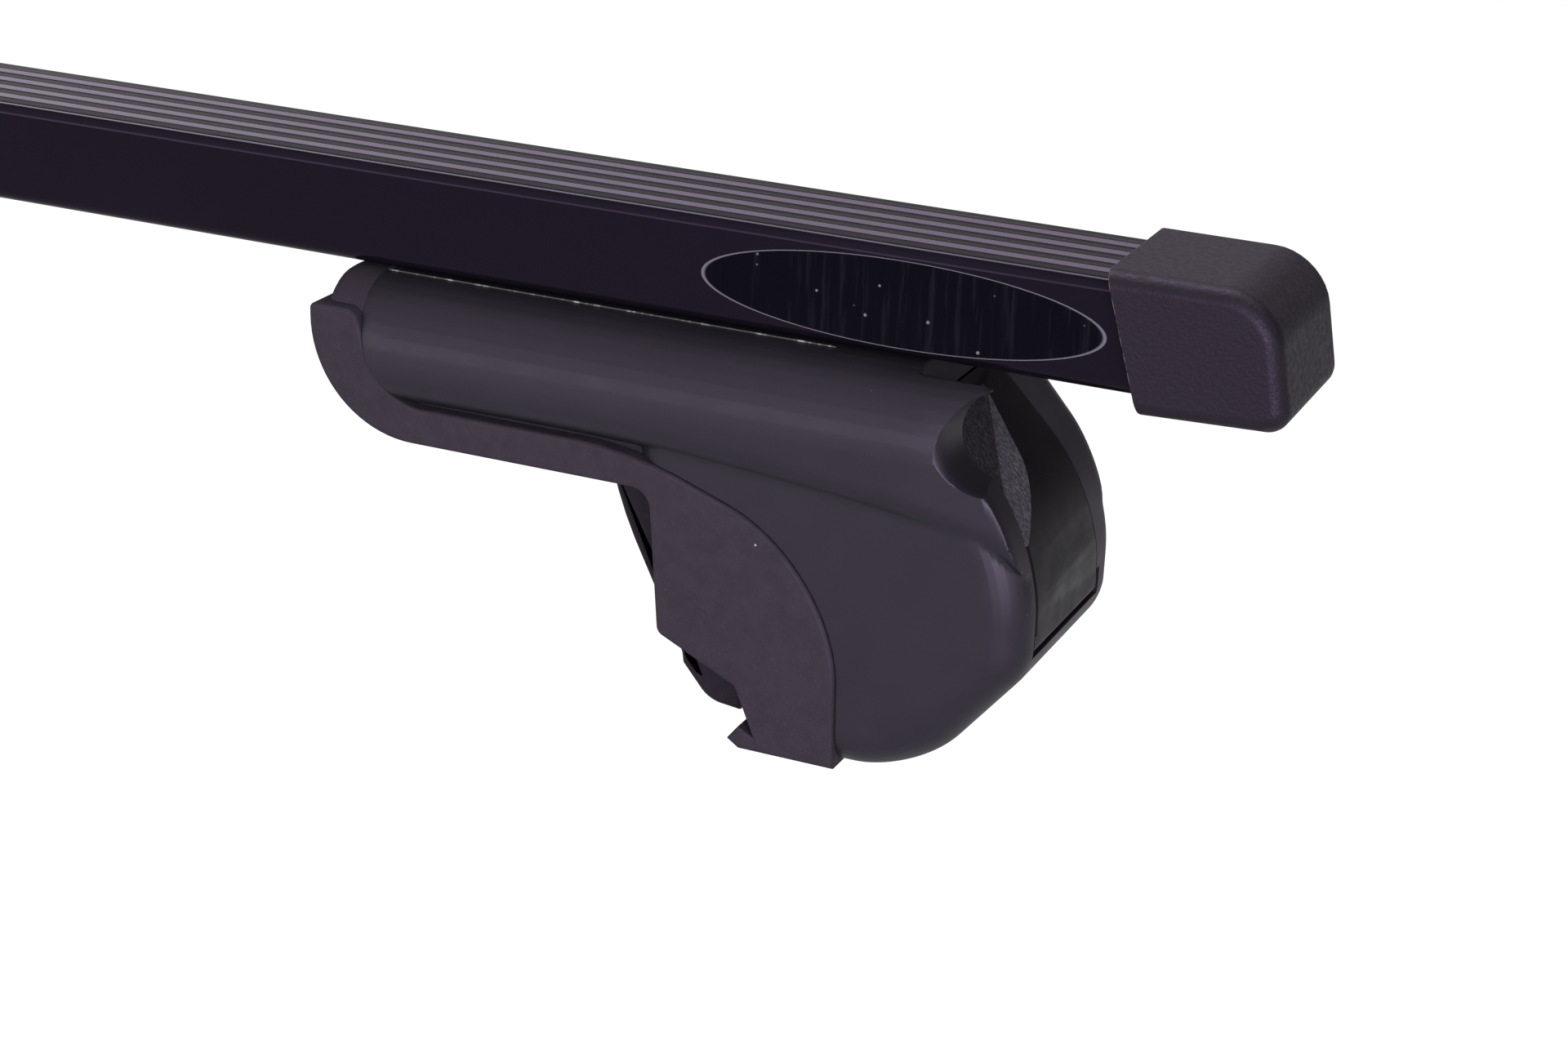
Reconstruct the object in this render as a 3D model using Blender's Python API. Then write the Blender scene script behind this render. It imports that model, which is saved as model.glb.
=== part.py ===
"""Roof bar on two raised-rail feet, with a screw-driven clamp jaw and a hinged end cover in each foot.

The bar lies along X. Each foot is modelled once in its own frame, with x = 0 at the centre of its
round outer end, +x outboard and z = 0 on the ground, and is placed twice, turned half round.
"""

import math

import bmesh
import bpy
from mathutils import Matrix, Vector

MM = 0.001
GAP = 0.3 * MM
ROUND_STEPS = 5
SHOULDER_STEPS = 5
ROLL_STEPS = 4
CUT_MARGIN = 20 * MM

# Bar: a ribbed rectangular steel tube
BAR_LENGTH = 1175 * MM
BAR_WIDTH = 30 * MM
BAR_HEIGHT = 20 * MM
BAR_WALL = 1.5 * MM
BAR_CORNER = 2.2 * MM
RIB_COUNT = 4
RIB_PITCH = 5.67 * MM
RIB_WIDTH = 3.4 * MM
RIB_HEIGHT = 0.5 * MM

# End cap of the bar
CAP_OVERLAP = 22 * MM
CAP_NOSE = 12.5 * MM
CAP_WALL = 2.2 * MM
CAP_SKIRT = 4.0 * MM
CAP_MOUTH_LEAN = 7.8 * MM
CAP_NOSE_LEAN = 4.5 * MM
CAP_NOSE_RADIUS = 11 * MM
CAP_EDGE = 3.0 * MM

# Foot: overall
FOOT_INSET = 59.5 * MM
FOOT_HEIGHT = 77.5 * MM
ARM_HALF = 27.0 * MM
ARM_TOP_HALF = 14.6 * MM
ARM_SHOULDER = 14.5 * MM
ARM_ROLL = 6.0 * MM
LEG_HALF = 25.0 * MM
LEG_EDGE = 7.0 * MM
ARM_EDGE = 4.0 * MM

# Foot: outer end, from the ledge under the bar round to the sole
LEAN_TOP_X = 4.7 * MM
END_REACH = 30.0 * MM
BROW_DROP = 28.8 * MM
BROW_RADIUS = 38.0 * MM
CHIN_DROP = 52.8 * MM
CHIN_RADIUS = 10.0 * MM
SOLE_END = 9.6 * MM
SOLE_RADIUS = 25.0 * MM

# Foot: horn and finger notch of the front rim
HORN_REACH = 20.5 * MM
HORN_THICK = 1.4 * MM
NOTCH_DEPTH = 4.0 * MM
NOTCH_FLOOR_DROP = 14.7 * MM
NOTCH_TOP_DROP = 4.9 * MM
NOTCH_RADIUS = 3.2 * MM

# Crease line where the arm overhangs the leg: places along the arm and the arm's depth there
CREASE = [(-50.0 * MM, 22.7 * MM), (-16.0 * MM, 25.0 * MM), (6.0 * MM, 27.2 * MM),
          (17.0 * MM, 29.5 * MM), (24.0 * MM, 32.1 * MM), (33.0 * MM, 37.0 * MM)]

# Rubber boot
BOOT_PROUD = 0.6 * MM
BOOT_WALL = 2.8 * MM
BOOT_EDGE = 0.8 * MM
ARM_REACH = 114.8 * MM
ARM_DEPTH = 29.9 * MM
CHANNEL_DEPTH = 0.6 * MM
CHANNEL_SPARE = 2.0 * MM
ARM_NOSE_RADIUS = 24.0 * MM
BAND_HEIGHT = 7.2 * MM
BAND_DROP = 5.5 * MM
BAND_SWEEP = 60.0 * MM
BAND_TURN = 12.0 * MM
BAND_TURN_INSET = 4.2 * MM
END_SKIN = 9.5 * MM
PLUG_HALF = 20.0 * MM
PLUG_SETBACK = 0.8 * MM
PLUG_CHAMFER = 3.0 * MM
CHEEK_X = 43.6 * MM
CHEEK_FOOT_X = 41.2 * MM
CHEEK_FOOT_Z = 19.9 * MM
HEEL_X = 25.0 * MM
HEEL_Z = 12.4 * MM
LIP_ROOT_X = 20.9 * MM
LIP_ROOT_Z = 2.8 * MM
LIP_PEAK_X = 24.0 * MM
LIP_PEAK_Z = 4.4 * MM
LIP_TIP_X = 26.2 * MM
LIP_TIP_Z = 1.6 * MM
SPLIT_SOLE_X = 4.6 * MM
SPLIT_KNEE_X = 5.6 * MM
SPLIT_KNEE_DROP = 15.0 * MM
SPLIT_KNEE_RADIUS = 34.0 * MM
SPLIT_ARM_X = 48.0 * MM

# Clamp jaw and its screw
JAW_HALF = 16.0 * MM
JAW_FACE_X = 56.2 * MM
JAW_BELLY_X = 53.2 * MM
JAW_BELLY_DROP = 9.6 * MM
JAW_BELLY_RADIUS = 60.0 * MM
JAW_TOE = [(-40.5 * MM, 12.3 * MM, 1.5 * MM), (-40.2 * MM, 10.2 * MM, 1.0 * MM),
           (-34.6 * MM, 3.6 * MM, 6.0 * MM), (-28.0 * MM, 2.9 * MM, 0)]
JAW_TOP_CLEARANCE = 0.4 * MM
JAW_BACK_X = 20.0 * MM
JAW_FLOOR = 6.4 * MM
JAW_TRAVEL = 10.0 * MM
SCREW_DROP = 7.6 * MM
SCREW_RADIUS = 4.0 * MM
SCREW_TIP_X = 40.0 * MM
SCREW_HEAD_X = 14.0 * MM
SCREW_HEAD_RADIUS = 6.5 * MM
SCREW_HEAD_HEIGHT = 7.0 * MM
SCREW_SOCKET_RADIUS = 2.9 * MM
SCREW_SOCKET_DEPTH = 4.0 * MM
SCREW_CLEARANCE = 0.4 * MM
NECK_RADIUS = 3.0 * MM
CLIP_X = 30.2 * MM
CLIP_THICK = 1.5 * MM
CLIP_HALF = 6.5 * MM
NUT_HALF = 6.5 * MM
NUT_THICK = 5.5 * MM
RECESS_HALF = 9.0 * MM
RECESS_SPARE = 0.5 * MM
JAW_ROOM = 2.2 * MM

# Steel bracket that ties the foot to the bar
BRACKET_THICK = 2.5 * MM
BRACKET_HALF = 10.5 * MM
BRACKET_END_INSET = 7.3 * MM
BRACKET_WEB_X = 9.0 * MM
BRACKET_WEB_REACH = 9.0 * MM
BRACKET_BEND = 4.0 * MM

# Bolts between bracket and bar
INNER_BOLT_INSET = 25.3 * MM
OUTER_BOLT_X = 30.0 * MM
BAR_BOLT_RADIUS = 3.0 * MM
BAR_BOLT_CLEARANCE = 0.5 * MM
BAR_BOLT_HEAD_RADIUS = 5.0 * MM
BAR_BOLT_HEAD_HEIGHT = 6.0 * MM
BAR_BOLT_SOCKET_RADIUS = 2.8 * MM
WASHER_RADIUS = 6.2 * MM
WASHER_THICK = 1.4 * MM
NUT_PLATE_THICK = 5.0 * MM
NUT_PLATE_HALF = 12.0 * MM
NUT_PLATE_MARGIN = 12.0 * MM
BAR_BOLT_SPARE = 2.0 * MM

# Hollow of the arm
HOLLOW_END_INSET = 5.3 * MM
HOLLOW_OUTER_X = 13.5 * MM
HOLLOW_DEPTH = 23.0 * MM
HOLLOW_HALF = 20.0 * MM
ACCESS_RADIUS = 6.0 * MM

# Hinged cover of the outer end
COVER_HALF = 18.0 * MM
COVER_THICK = 3.5 * MM
COVER_FOOT = 2.6 * MM
COVER_HEADROOM = 1.0 * MM
GRIP_TOP_Y = 4.0 * MM
GRIP_TOP_DROP = 7.5 * MM
GRIP_LOW_DROP = 21.5 * MM
GRIP_DEPTH = 1.4 * MM
HINGE_BOSS_RADIUS = 2.7 * MM
HINGE_PIN_RADIUS = 1.25 * MM
HINGE_PIN_HALF = 20.0 * MM
HINGE_CLEARANCE = 0.15 * MM

BAR_BOTTOM = FOOT_HEIGHT + GAP
FOOT_X = BAR_LENGTH / 2 - FOOT_INSET
RIB_REACH = BAR_LENGTH / 2 - CAP_OVERLAP - GAP
BROW_HEIGHT = FOOT_HEIGHT - BROW_DROP
CHIN_HEIGHT = FOOT_HEIGHT - CHIN_DROP
NOTCH_FLOOR = FOOT_HEIGHT - NOTCH_FLOOR_DROP
NOTCH_TOP = FOOT_HEIGHT - NOTCH_TOP_DROP
ARM_UNDERSIDE = FOOT_HEIGHT - ARM_DEPTH
BAND_TOP = FOOT_HEIGHT - BAND_DROP
HOLLOW_FLOOR = FOOT_HEIGHT - HOLLOW_DEPTH
SHELL_START = ARM_REACH - END_SKIN
HOLLOW_INNER_X = SHELL_START - HOLLOW_END_INSET
BRACKET_INNER_X = SHELL_START - BRACKET_END_INSET
BAR_BOLT_X = [SHELL_START - INNER_BOLT_INSET, OUTER_BOLT_X]
SCREW_Z = ARM_UNDERSIDE - SCREW_DROP
BRACKET_WEB_FOOT = SCREW_Z - BRACKET_WEB_REACH
CHANNEL_END_X = JAW_FACE_X + JAW_TRAVEL + CHANNEL_SPARE
RECESS_FLOOR_X = SCREW_HEAD_X - JAW_TRAVEL - RECESS_SPARE
HINGE_X = END_REACH - HINGE_BOSS_RADIUS
COVER_BOTTOM = CHIN_HEIGHT + COVER_FOOT
HINGE_Z = COVER_BOTTOM + HINGE_BOSS_RADIUS
COVER_SWING = FOOT_HEIGHT - HINGE_Z - COVER_HEADROOM
BOOT_HALF = LEG_HALF + BOOT_PROUD
CORE_HALF = BOOT_HALF - BOOT_WALL - GAP
BAND_INNER = ARM_UNDERSIDE + BAND_HEIGHT
SPLIT_KNEE_Z = BAND_INNER - SPLIT_KNEE_DROP


# Scene and materials

def clear_scene():
    for old in list(bpy.data.objects):
        bpy.data.objects.remove(old, do_unlink=True)


def make_material(name, colour, roughness, metallic=0.0):
    made = bpy.data.materials.new(name)
    made.use_nodes = True
    shader = made.node_tree.nodes["Principled BSDF"]
    shader.inputs["Base Color"].default_value = (*colour, 1.0)
    shader.inputs["Roughness"].default_value = roughness
    shader.inputs["Metallic"].default_value = metallic
    made.diffuse_color = (*colour, 1.0)
    return made


def make_collection(name):
    made = bpy.data.collections.new(name)
    bpy.context.scene.collection.children.link(made)
    return made


# Outlines: lists of corners (x, z, radius), rounded into points

def rounded(corners, steps=ROUND_STEPS):
    points = []
    count = len(corners)
    for index, (x, z, radius) in enumerate(corners):
        corner = Vector((x, z))
        before = Vector(corners[index - 1][:2]) - corner
        after = Vector(corners[(index + 1) % count][:2]) - corner
        turn = before.angle(after)
        if radius <= 0 or turn > math.pi - 0.01:
            points.append(corner)
            continue
        reach = min(radius / math.tan(turn / 2), 0.49 * before.length, 0.49 * after.length)
        start = corner + before.normalized() * reach
        end = corner + after.normalized() * reach
        middle = corner + (before.normalized() + after.normalized()).normalized() * (
            reach / math.cos(turn / 2))
        first, last = start - middle, end - middle
        sweep = math.atan2(first.x * last.y - first.y * last.x, first.dot(last))
        pieces = max(2, round(steps * abs(sweep) / (math.pi / 2)))
        for step in range(pieces + 1):
            angle = sweep * step / pieces
            turned = Matrix.Rotation(angle, 2) @ first
            points.append(middle + turned)
    return points


def offset(corners, distances):
    """Moves each edge of an anticlockwise outline inwards by its own distance."""
    count = len(corners)
    lines = []
    for index in range(count):
        a = Vector(corners[index][:2])
        b = Vector(corners[(index + 1) % count][:2])
        along = (b - a).normalized()
        inward = Vector((-along.y, along.x))
        lines.append((a + inward * distances[index], along))
    moved = []
    for index in range(count):
        (p, u), (q, v) = lines[index - 1], lines[index]
        cross = u.x * v.y - u.y * v.x
        t = ((q - p).x * v.y - (q - p).y * v.x) / cross
        place = p + u * t
        radius = corners[index][2]
        shrink = min(distances[index - 1], distances[index])
        new_radius = radius - shrink if cross > 0 else radius + shrink
        moved.append((place.x, place.y, max(new_radius, 0.0) if radius > 0 else 0.0))
    return moved


# Solids

def mesh_object(name, mesh):
    made = bpy.data.objects.new(name, mesh)
    bpy.context.scene.collection.objects.link(made)
    return made


def bake(target):
    """Replaces an object by the mesh that its modifiers give."""
    graph = bpy.context.evaluated_depsgraph_get()
    baked = bpy.data.meshes.new_from_object(target.evaluated_get(graph))
    made = mesh_object(target.name + "_baked", baked)
    made.matrix_world = target.matrix_world.copy()
    bpy.data.objects.remove(target, do_unlink=True)
    return made


def flat_outline(points, half_thickness):
    curve = bpy.data.curves.new("outline", "CURVE")
    curve.dimensions = "2D"
    curve.fill_mode = "BOTH"
    curve.extrude = half_thickness
    spline = curve.splines.new("POLY")
    spline.points.add(len(points) - 1)
    for place, point in zip(spline.points, points):
        place.co = (point[0], point[1], 0.0, 1.0)
    spline.use_cyclic_u = True
    made = bpy.data.objects.new("outline", curve)
    bpy.context.scene.collection.objects.link(made)
    return made


def weld(target, distance=0.00001):
    shape = bmesh.new()
    shape.from_mesh(target.data)
    bmesh.ops.remove_doubles(shape, verts=shape.verts, dist=distance)
    bmesh.ops.dissolve_limit(shape, angle_limit=math.radians(0.5), verts=shape.verts,
                             edges=shape.edges)
    bmesh.ops.recalc_face_normals(shape, faces=shape.faces)
    shape.to_mesh(target.data)
    shape.free()
    return target


def push(points, low, high, turn, edge=0.0, edge_steps=2):
    """Extrudes a flat outline from low to high and turns it into place; edge rounds its rims."""
    flat = flat_outline(points, (high - low) / 2)
    solid = weld(bake(flat))
    if edge > 0:
        round_rims(solid, edge, edge_steps)
    solid.data.transform(turn @ Matrix.Translation((0, 0, (low + high) / 2)))
    return solid


def round_rims(solid, edge, steps):
    shape = bmesh.new()
    shape.from_mesh(solid.data)
    shape.normal_update()
    top = max(vert.co.z for vert in shape.verts)
    rims = [line for line in shape.edges
            if abs(abs(line.verts[0].co.z) - top) < 1e-6
            and abs(line.verts[0].co.z - line.verts[1].co.z) < 1e-6
            and len(line.link_faces) == 2 and line.calc_face_angle() > 0.5]
    bmesh.ops.bevel(shape, geom=rims, offset=edge, offset_type="OFFSET", affect="EDGES",
                    segments=steps, profile=0.5, material=-1, clamp_overlap=False)
    shape.to_mesh(solid.data)
    shape.free()


ALONG_Y = Matrix.Rotation(math.pi / 2, 4, "X")
ALONG_X = Matrix(((0, 0, 1, 0), (1, 0, 0, 0), (0, 1, 0, 0), (0, 0, 0, 1)))
ALONG_Z = Matrix.Identity(4)


def side_plate(corners, half, edge=0.0, edge_steps=2, steps=ROUND_STEPS):
    """A plate whose outline lies in XZ, centred on the foot's middle plane."""
    return push(rounded(corners, steps), -half, half, ALONG_Y, edge, edge_steps)


def side_slab(corners, low, high):
    """A plate whose outline lies in XZ, from y = low to y = high."""
    return push(rounded(corners), -high, -low, ALONG_Y)


def block(x0, x1, y0, y1, z0, z1):
    bpy.ops.mesh.primitive_cube_add(size=1.0)
    made = bpy.context.object
    place = Matrix.Translation(((x0 + x1) / 2, (y0 + y1) / 2, (z0 + z1) / 2))
    made.data.transform(place @ Matrix.Diagonal((x1 - x0, y1 - y0, z1 - z0, 1.0)))
    return made


AXIS_TURN = {"X": Matrix.Rotation(math.pi / 2, 4, "Y"), "Y": Matrix.Rotation(-math.pi / 2, 4, "X"),
             "Z": Matrix.Identity(4)}


def rod(axis, radius, low, high, centre, sides=24):
    """A cylinder along an axis from low to high; centre holds its other two coordinates."""
    bpy.ops.mesh.primitive_cylinder_add(vertices=sides, radius=radius, depth=high - low)
    made = bpy.context.object
    middle = (low + high) / 2
    places = {"X": (middle, centre[0], centre[1]), "Y": (centre[0], middle, centre[1]),
              "Z": (centre[0], centre[1], middle)}
    made.data.transform(Matrix.Translation(places[axis]) @ AXIS_TURN[axis])
    return made


def combine(target, others, operation):
    for other in others:
        change = target.modifiers.new(operation.lower(), "BOOLEAN")
        change.operation = operation
        change.solver = "EXACT"
        change.object = other
    made = bake(target)
    for other in others:
        bpy.data.objects.remove(other, do_unlink=True)
    return weld(made)


def join(target, *others):
    return combine(target, others, "UNION")


def cut(target, *others):
    return combine(target, others, "DIFFERENCE")


def keep(target, *others):
    return combine(target, others, "INTERSECT")


def loft(rings):
    """Bridges closed rings of points that have the same count, and closes the two ends."""
    shape = bmesh.new()
    loops = []
    for ring in rings:
        verts = [shape.verts.new(point) for point in ring]
        loops.append([shape.edges.new((verts[i - 1], verts[i])) for i in range(len(verts))])
    for first, second in zip(loops, loops[1:]):
        bmesh.ops.bridge_loops(shape, edges=first + second)
    bmesh.ops.holes_fill(shape, edges=loops[0] + loops[-1], sides=0)
    bmesh.ops.recalc_face_normals(shape, faces=shape.faces)
    mesh = bpy.data.meshes.new("loft")
    shape.to_mesh(mesh)
    shape.free()
    return mesh_object("loft", mesh)


# The foot's outlines

def end_corners():
    """The outer end, from the sole up to the bar."""
    return [(SOLE_END, 0, SOLE_RADIUS), (END_REACH, CHIN_HEIGHT, CHIN_RADIUS),
            (END_REACH, BROW_HEIGHT, BROW_RADIUS), (LEAN_TOP_X, FOOT_HEIGHT, 0)]


def horn_corners():
    """The tip that the arm's front side reaches out with, above the finger notch."""
    notch_x = lean_x(NOTCH_FLOOR) - NOTCH_DEPTH
    return [(LEAN_TOP_X, NOTCH_FLOOR, 0), (notch_x, NOTCH_FLOOR, 0), (notch_x, NOTCH_TOP, NOTCH_RADIUS),
            (HORN_REACH, FOOT_HEIGHT - HORN_THICK, 0), (HORN_REACH, FOOT_HEIGHT, 0),
            (LEAN_TOP_X, FOOT_HEIGHT, 0)]


def notch_corners():
    far = END_REACH + CUT_MARGIN
    notch_x = lean_x(NOTCH_FLOOR) - NOTCH_DEPTH
    return [(notch_x, NOTCH_FLOOR, NOTCH_RADIUS), (far, NOTCH_FLOOR, 0), (far, NOTCH_TOP, 0),
            (notch_x, NOTCH_TOP, NOTCH_RADIUS)]


def lean_x(z):
    """Where the leaning upper face of the outer end stands at a height."""
    share = (FOOT_HEIGHT - z) / (FOOT_HEIGHT - BROW_HEIGHT)
    return LEAN_TOP_X + (END_REACH - LEAN_TOP_X) * share


def lean_normal():
    return Vector((FOOT_HEIGHT - BROW_HEIGHT, 0, END_REACH - LEAN_TOP_X)).normalized()


def boot_corners():
    """The boot seen from the side, anticlockwise from the sole's split line."""
    return [(-LIP_TIP_X + 2.4 * MM, 0, 0.6 * MM), (-SPLIT_SOLE_X, 0, 0),
            (-SPLIT_KNEE_X, SPLIT_KNEE_Z, SPLIT_KNEE_RADIUS),
            (-SPLIT_ARM_X, BAND_INNER, BAND_SWEEP),
            (-SHELL_START + BAND_TURN_INSET, BAND_INNER, BAND_TURN),
            (-SHELL_START, BAND_TOP, 2 * MM), (-ARM_REACH, BAND_TOP, 1.0 * MM),
            (-ARM_REACH, ARM_UNDERSIDE, ARM_NOSE_RADIUS), (-CHEEK_X, ARM_UNDERSIDE, 4 * MM),
            (-CHEEK_FOOT_X, CHEEK_FOOT_Z, 2 * MM), (-HEEL_X, HEEL_Z, 2.0 * MM),
            (-LIP_ROOT_X, LIP_ROOT_Z, 0), (-LIP_PEAK_X, LIP_PEAK_Z, 0.5 * MM),
            (-LIP_TIP_X, LIP_TIP_Z, 0.6 * MM)]


def core_corners(growth):
    """The part of the shell that the boot is drawn over; growth widens it for the boot's hollow."""
    wall = BOOT_WALL + GAP - growth
    reach = 8 * MM
    return [(-LIP_ROOT_X + wall, wall, 0), (-SPLIT_SOLE_X + reach, wall, 0),
            (-SPLIT_KNEE_X + reach, SPLIT_KNEE_Z, 0), (-SPLIT_KNEE_X, BAND_INNER + reach, 0),
            (-SHELL_START + 6 * MM, BAND_INNER + reach, 0),
            (-SHELL_START + 6 * MM - growth, ARM_UNDERSIDE + wall, 6 * MM),
            (-CHEEK_X + wall, ARM_UNDERSIDE + wall, 0), (-CHEEK_FOOT_X + wall, CHEEK_FOOT_Z + wall, 0),
            (-HEEL_X + wall, HEEL_Z + wall, 0)]


def arm_ring(x, depth):
    """One cross-section of the arm: narrow under the bar, swelling out, rolled in below."""
    low = FOOT_HEIGHT - depth
    half = []
    for step in range(SHOULDER_STEPS + 1):
        angle = math.pi / 2 * (1 - step / SHOULDER_STEPS)
        half.append((ARM_TOP_HALF + (ARM_HALF - ARM_TOP_HALF) * math.cos(angle),
                     FOOT_HEIGHT - ARM_SHOULDER * (1 - math.sin(angle))))
    for step in range(ROLL_STEPS + 1):
        angle = math.pi / 2 * step / ROLL_STEPS
        half.append((ARM_HALF - ARM_ROLL * (1 - math.cos(angle)),
                     low + ARM_ROLL * (1 - math.sin(angle))))
    ring = [(x, y, z) for y, z in half]
    return ring + [(x, -y, z) for y, z in reversed(half)]


# Pieces of the foot, each a mesh in the foot's frame

def shell_body():
    rings = [arm_ring(-SHELL_START, CREASE[0][1])] + [arm_ring(x, depth) for x, depth in CREASE]
    far = -SHELL_START - CUT_MARGIN
    back = [(far, FOOT_HEIGHT, 0), (far, 0, 0)]
    ends = end_corners()
    plain = side_plate(ends + back, ARM_HALF, ARM_EDGE)
    horn = side_slab(horn_corners(), -ARM_HALF, -COVER_HALF)
    notch = side_slab(notch_corners(), -ARM_HALF - CUT_MARGIN, -COVER_HALF)
    arm = cut(keep(loft(rings), join(plain, horn)), notch)
    leg_top = (FOOT_HEIGHT + BAND_INNER) / 2
    leg_outline = ends[:3] + [(lean_x(leg_top), leg_top, 0), (-SPLIT_ARM_X, leg_top, 0),
                              (-SPLIT_ARM_X, 0, 0)]
    leg = side_plate(leg_outline, LEG_HALF, LEG_EDGE, 3)
    return join(arm, leg)


def boot_space():
    """What the boot takes from the shell's outer form, with a seam gap along the split line."""
    corners = boot_corners()
    seam = [0.0] * len(corners)
    for index in range(1, 6):
        seam[index] = -GAP
    far = CUT_MARGIN
    grown = offset(corners, seam)
    outer = grown[1:6] + [(-SHELL_START + GAP, FOOT_HEIGHT + far, 0),
                          (-ARM_REACH - far, FOOT_HEIGHT + far, 0), (-ARM_REACH - far, -far, 0),
                          (-SPLIT_SOLE_X + GAP, -far, 0)]
    return side_plate(outer, ARM_HALF + far)


def jaw_space(wide):
    """The slide way of the jaw, open inboard and below its toe."""
    far = -CHEEK_X - CUT_MARGIN
    back = -JAW_BACK_X + JAW_ROOM
    floor = JAW_FLOOR - 0.4 * MM
    corners = [(far, -CUT_MARGIN, 0), (-HEEL_X + 0.4 * MM, -CUT_MARGIN, 0),
               (-HEEL_X + 0.4 * MM, floor, 0), (back, floor, 0), (back, ARM_UNDERSIDE, 0),
               (far, ARM_UNDERSIDE, 0)]
    return side_plate(corners, wide)


def arm_hollow():
    ceiling = FOOT_HEIGHT + CUT_MARGIN
    mouth = BRACKET_HALF + GAP
    neck = FOOT_HEIGHT - BRACKET_THICK - 3 * MM
    section = [(-mouth, ceiling), (-mouth, neck), (-HOLLOW_HALF + 1 * MM, neck - 5 * MM),
               (-HOLLOW_HALF, HOLLOW_FLOOR + 5 * MM), (-HOLLOW_HALF + 3 * MM, HOLLOW_FLOOR),
               (HOLLOW_HALF - 3 * MM, HOLLOW_FLOOR), (HOLLOW_HALF, HOLLOW_FLOOR + 5 * MM),
               (HOLLOW_HALF - 1 * MM, neck - 5 * MM), (mouth, neck), (mouth, ceiling)]
    return push(section, -HOLLOW_INNER_X, -HOLLOW_OUTER_X, ALONG_X)


def bracket_slots():
    mouth = BRACKET_HALF + GAP
    top = FOOT_HEIGHT + CUT_MARGIN
    web0 = -BRACKET_WEB_X - BRACKET_THICK / 2 - GAP
    web1 = -BRACKET_WEB_X + BRACKET_THICK / 2 + GAP
    nut_half = NUT_HALF + GAP
    bend = BRACKET_THICK + BRACKET_BEND
    flange = block(-HOLLOW_INNER_X, web1, -mouth, mouth, FOOT_HEIGHT - bend, top)
    web = block(web0, web1, -mouth, mouth, BRACKET_WEB_FOOT - GAP, top)
    nut = block(web1 - GAP, web1 + NUT_THICK + GAP, -nut_half, nut_half, SCREW_Z - nut_half, top)
    return [flange, web, nut]


def swing_limit(clearance):
    return rod("Y", COVER_SWING + clearance, -ARM_HALF, ARM_HALF, (HINGE_X, HINGE_Z), 96)


def cover_outline(depth, far):
    """The cover's space from the side: depth below the outer face, and out to far."""
    inner = offset(end_corners(), [0, depth, depth, 0])
    return [(inner[2][0], HINGE_Z, 0)] + far + inner[3:] + [inner[2]]


def cover_pocket():
    far = END_REACH + CUT_MARGIN
    seat = HINGE_BOSS_RADIUS + GAP
    wide = COVER_HALF + GAP
    room = cover_outline(COVER_THICK + GAP, [(far, HINGE_Z, 0), (far, FOOT_HEIGHT + CUT_MARGIN, 0)])
    face = keep(side_plate(room, wide), swing_limit(GAP))
    barrel = rod("Y", seat, -wide, wide, (HINGE_X, HINGE_Z))
    lip = block(HINGE_X, far, -wide, wide, HINGE_Z - seat, HINGE_Z + 0.5 * MM)
    return join(face, barrel, lip)


def make_shell():
    core = side_plate(core_corners(0), CORE_HALF)
    shell = join(cut(shell_body(), boot_space()), core)
    screw_hole = rod("X", SCREW_RADIUS + SCREW_CLEARANCE, -JAW_BACK_X, RECESS_FLOOR_X + 1 * MM,
                     (0, SCREW_Z))
    recess = block(RECESS_FLOOR_X, END_REACH + CUT_MARGIN, -RECESS_HALF, RECESS_HALF,
                   SCREW_Z - RECESS_HALF, SCREW_Z + RECESS_HALF)
    pin_hole = rod("Y", HINGE_PIN_RADIUS + HINGE_CLEARANCE, -HINGE_PIN_HALF - GAP,
                   HINGE_PIN_HALF + GAP, (HINGE_X, HINGE_Z), 16)
    access = [rod("Z", ACCESS_RADIUS, ARM_UNDERSIDE, HOLLOW_FLOOR + 1 * MM, (-x, 0), 16)
              for x in BAR_BOLT_X]
    return cut(shell, jaw_space(JAW_HALF + GAP), arm_hollow(), *bracket_slots(), cover_pocket(),
               screw_hole, recess, pin_hole, *access)


def make_boot():
    outer = side_plate(boot_corners(), BOOT_HALF, BOOT_EDGE, 1)
    plug_top = FOOT_HEIGHT
    plug = side_plate([(-SHELL_START, BAND_TOP - 6 * MM, 0), (-SHELL_START, plug_top, 0),
                       (-ARM_REACH + PLUG_SETBACK + 3 * MM, plug_top, 0),
                       (-ARM_REACH + PLUG_SETBACK, BAND_TOP + 1 * MM, 5 * MM),
                       (-ARM_REACH + PLUG_SETBACK, BAND_TOP - 6 * MM, 0)],
                      PLUG_HALF, PLUG_CHAMFER, 2)
    hollow = side_plate(core_corners(GAP), CORE_HALF + GAP)
    way = JAW_HALF + GAP
    mouth = block(-CHANNEL_END_X, -LIP_ROOT_X + BOOT_WALL + 2 * MM, -way, way, JAW_FLOOR - 0.4 * MM,
                  ARM_UNDERSIDE + CHANNEL_DEPTH)
    return cut(join(outer, plug), hollow, mouth)


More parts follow.
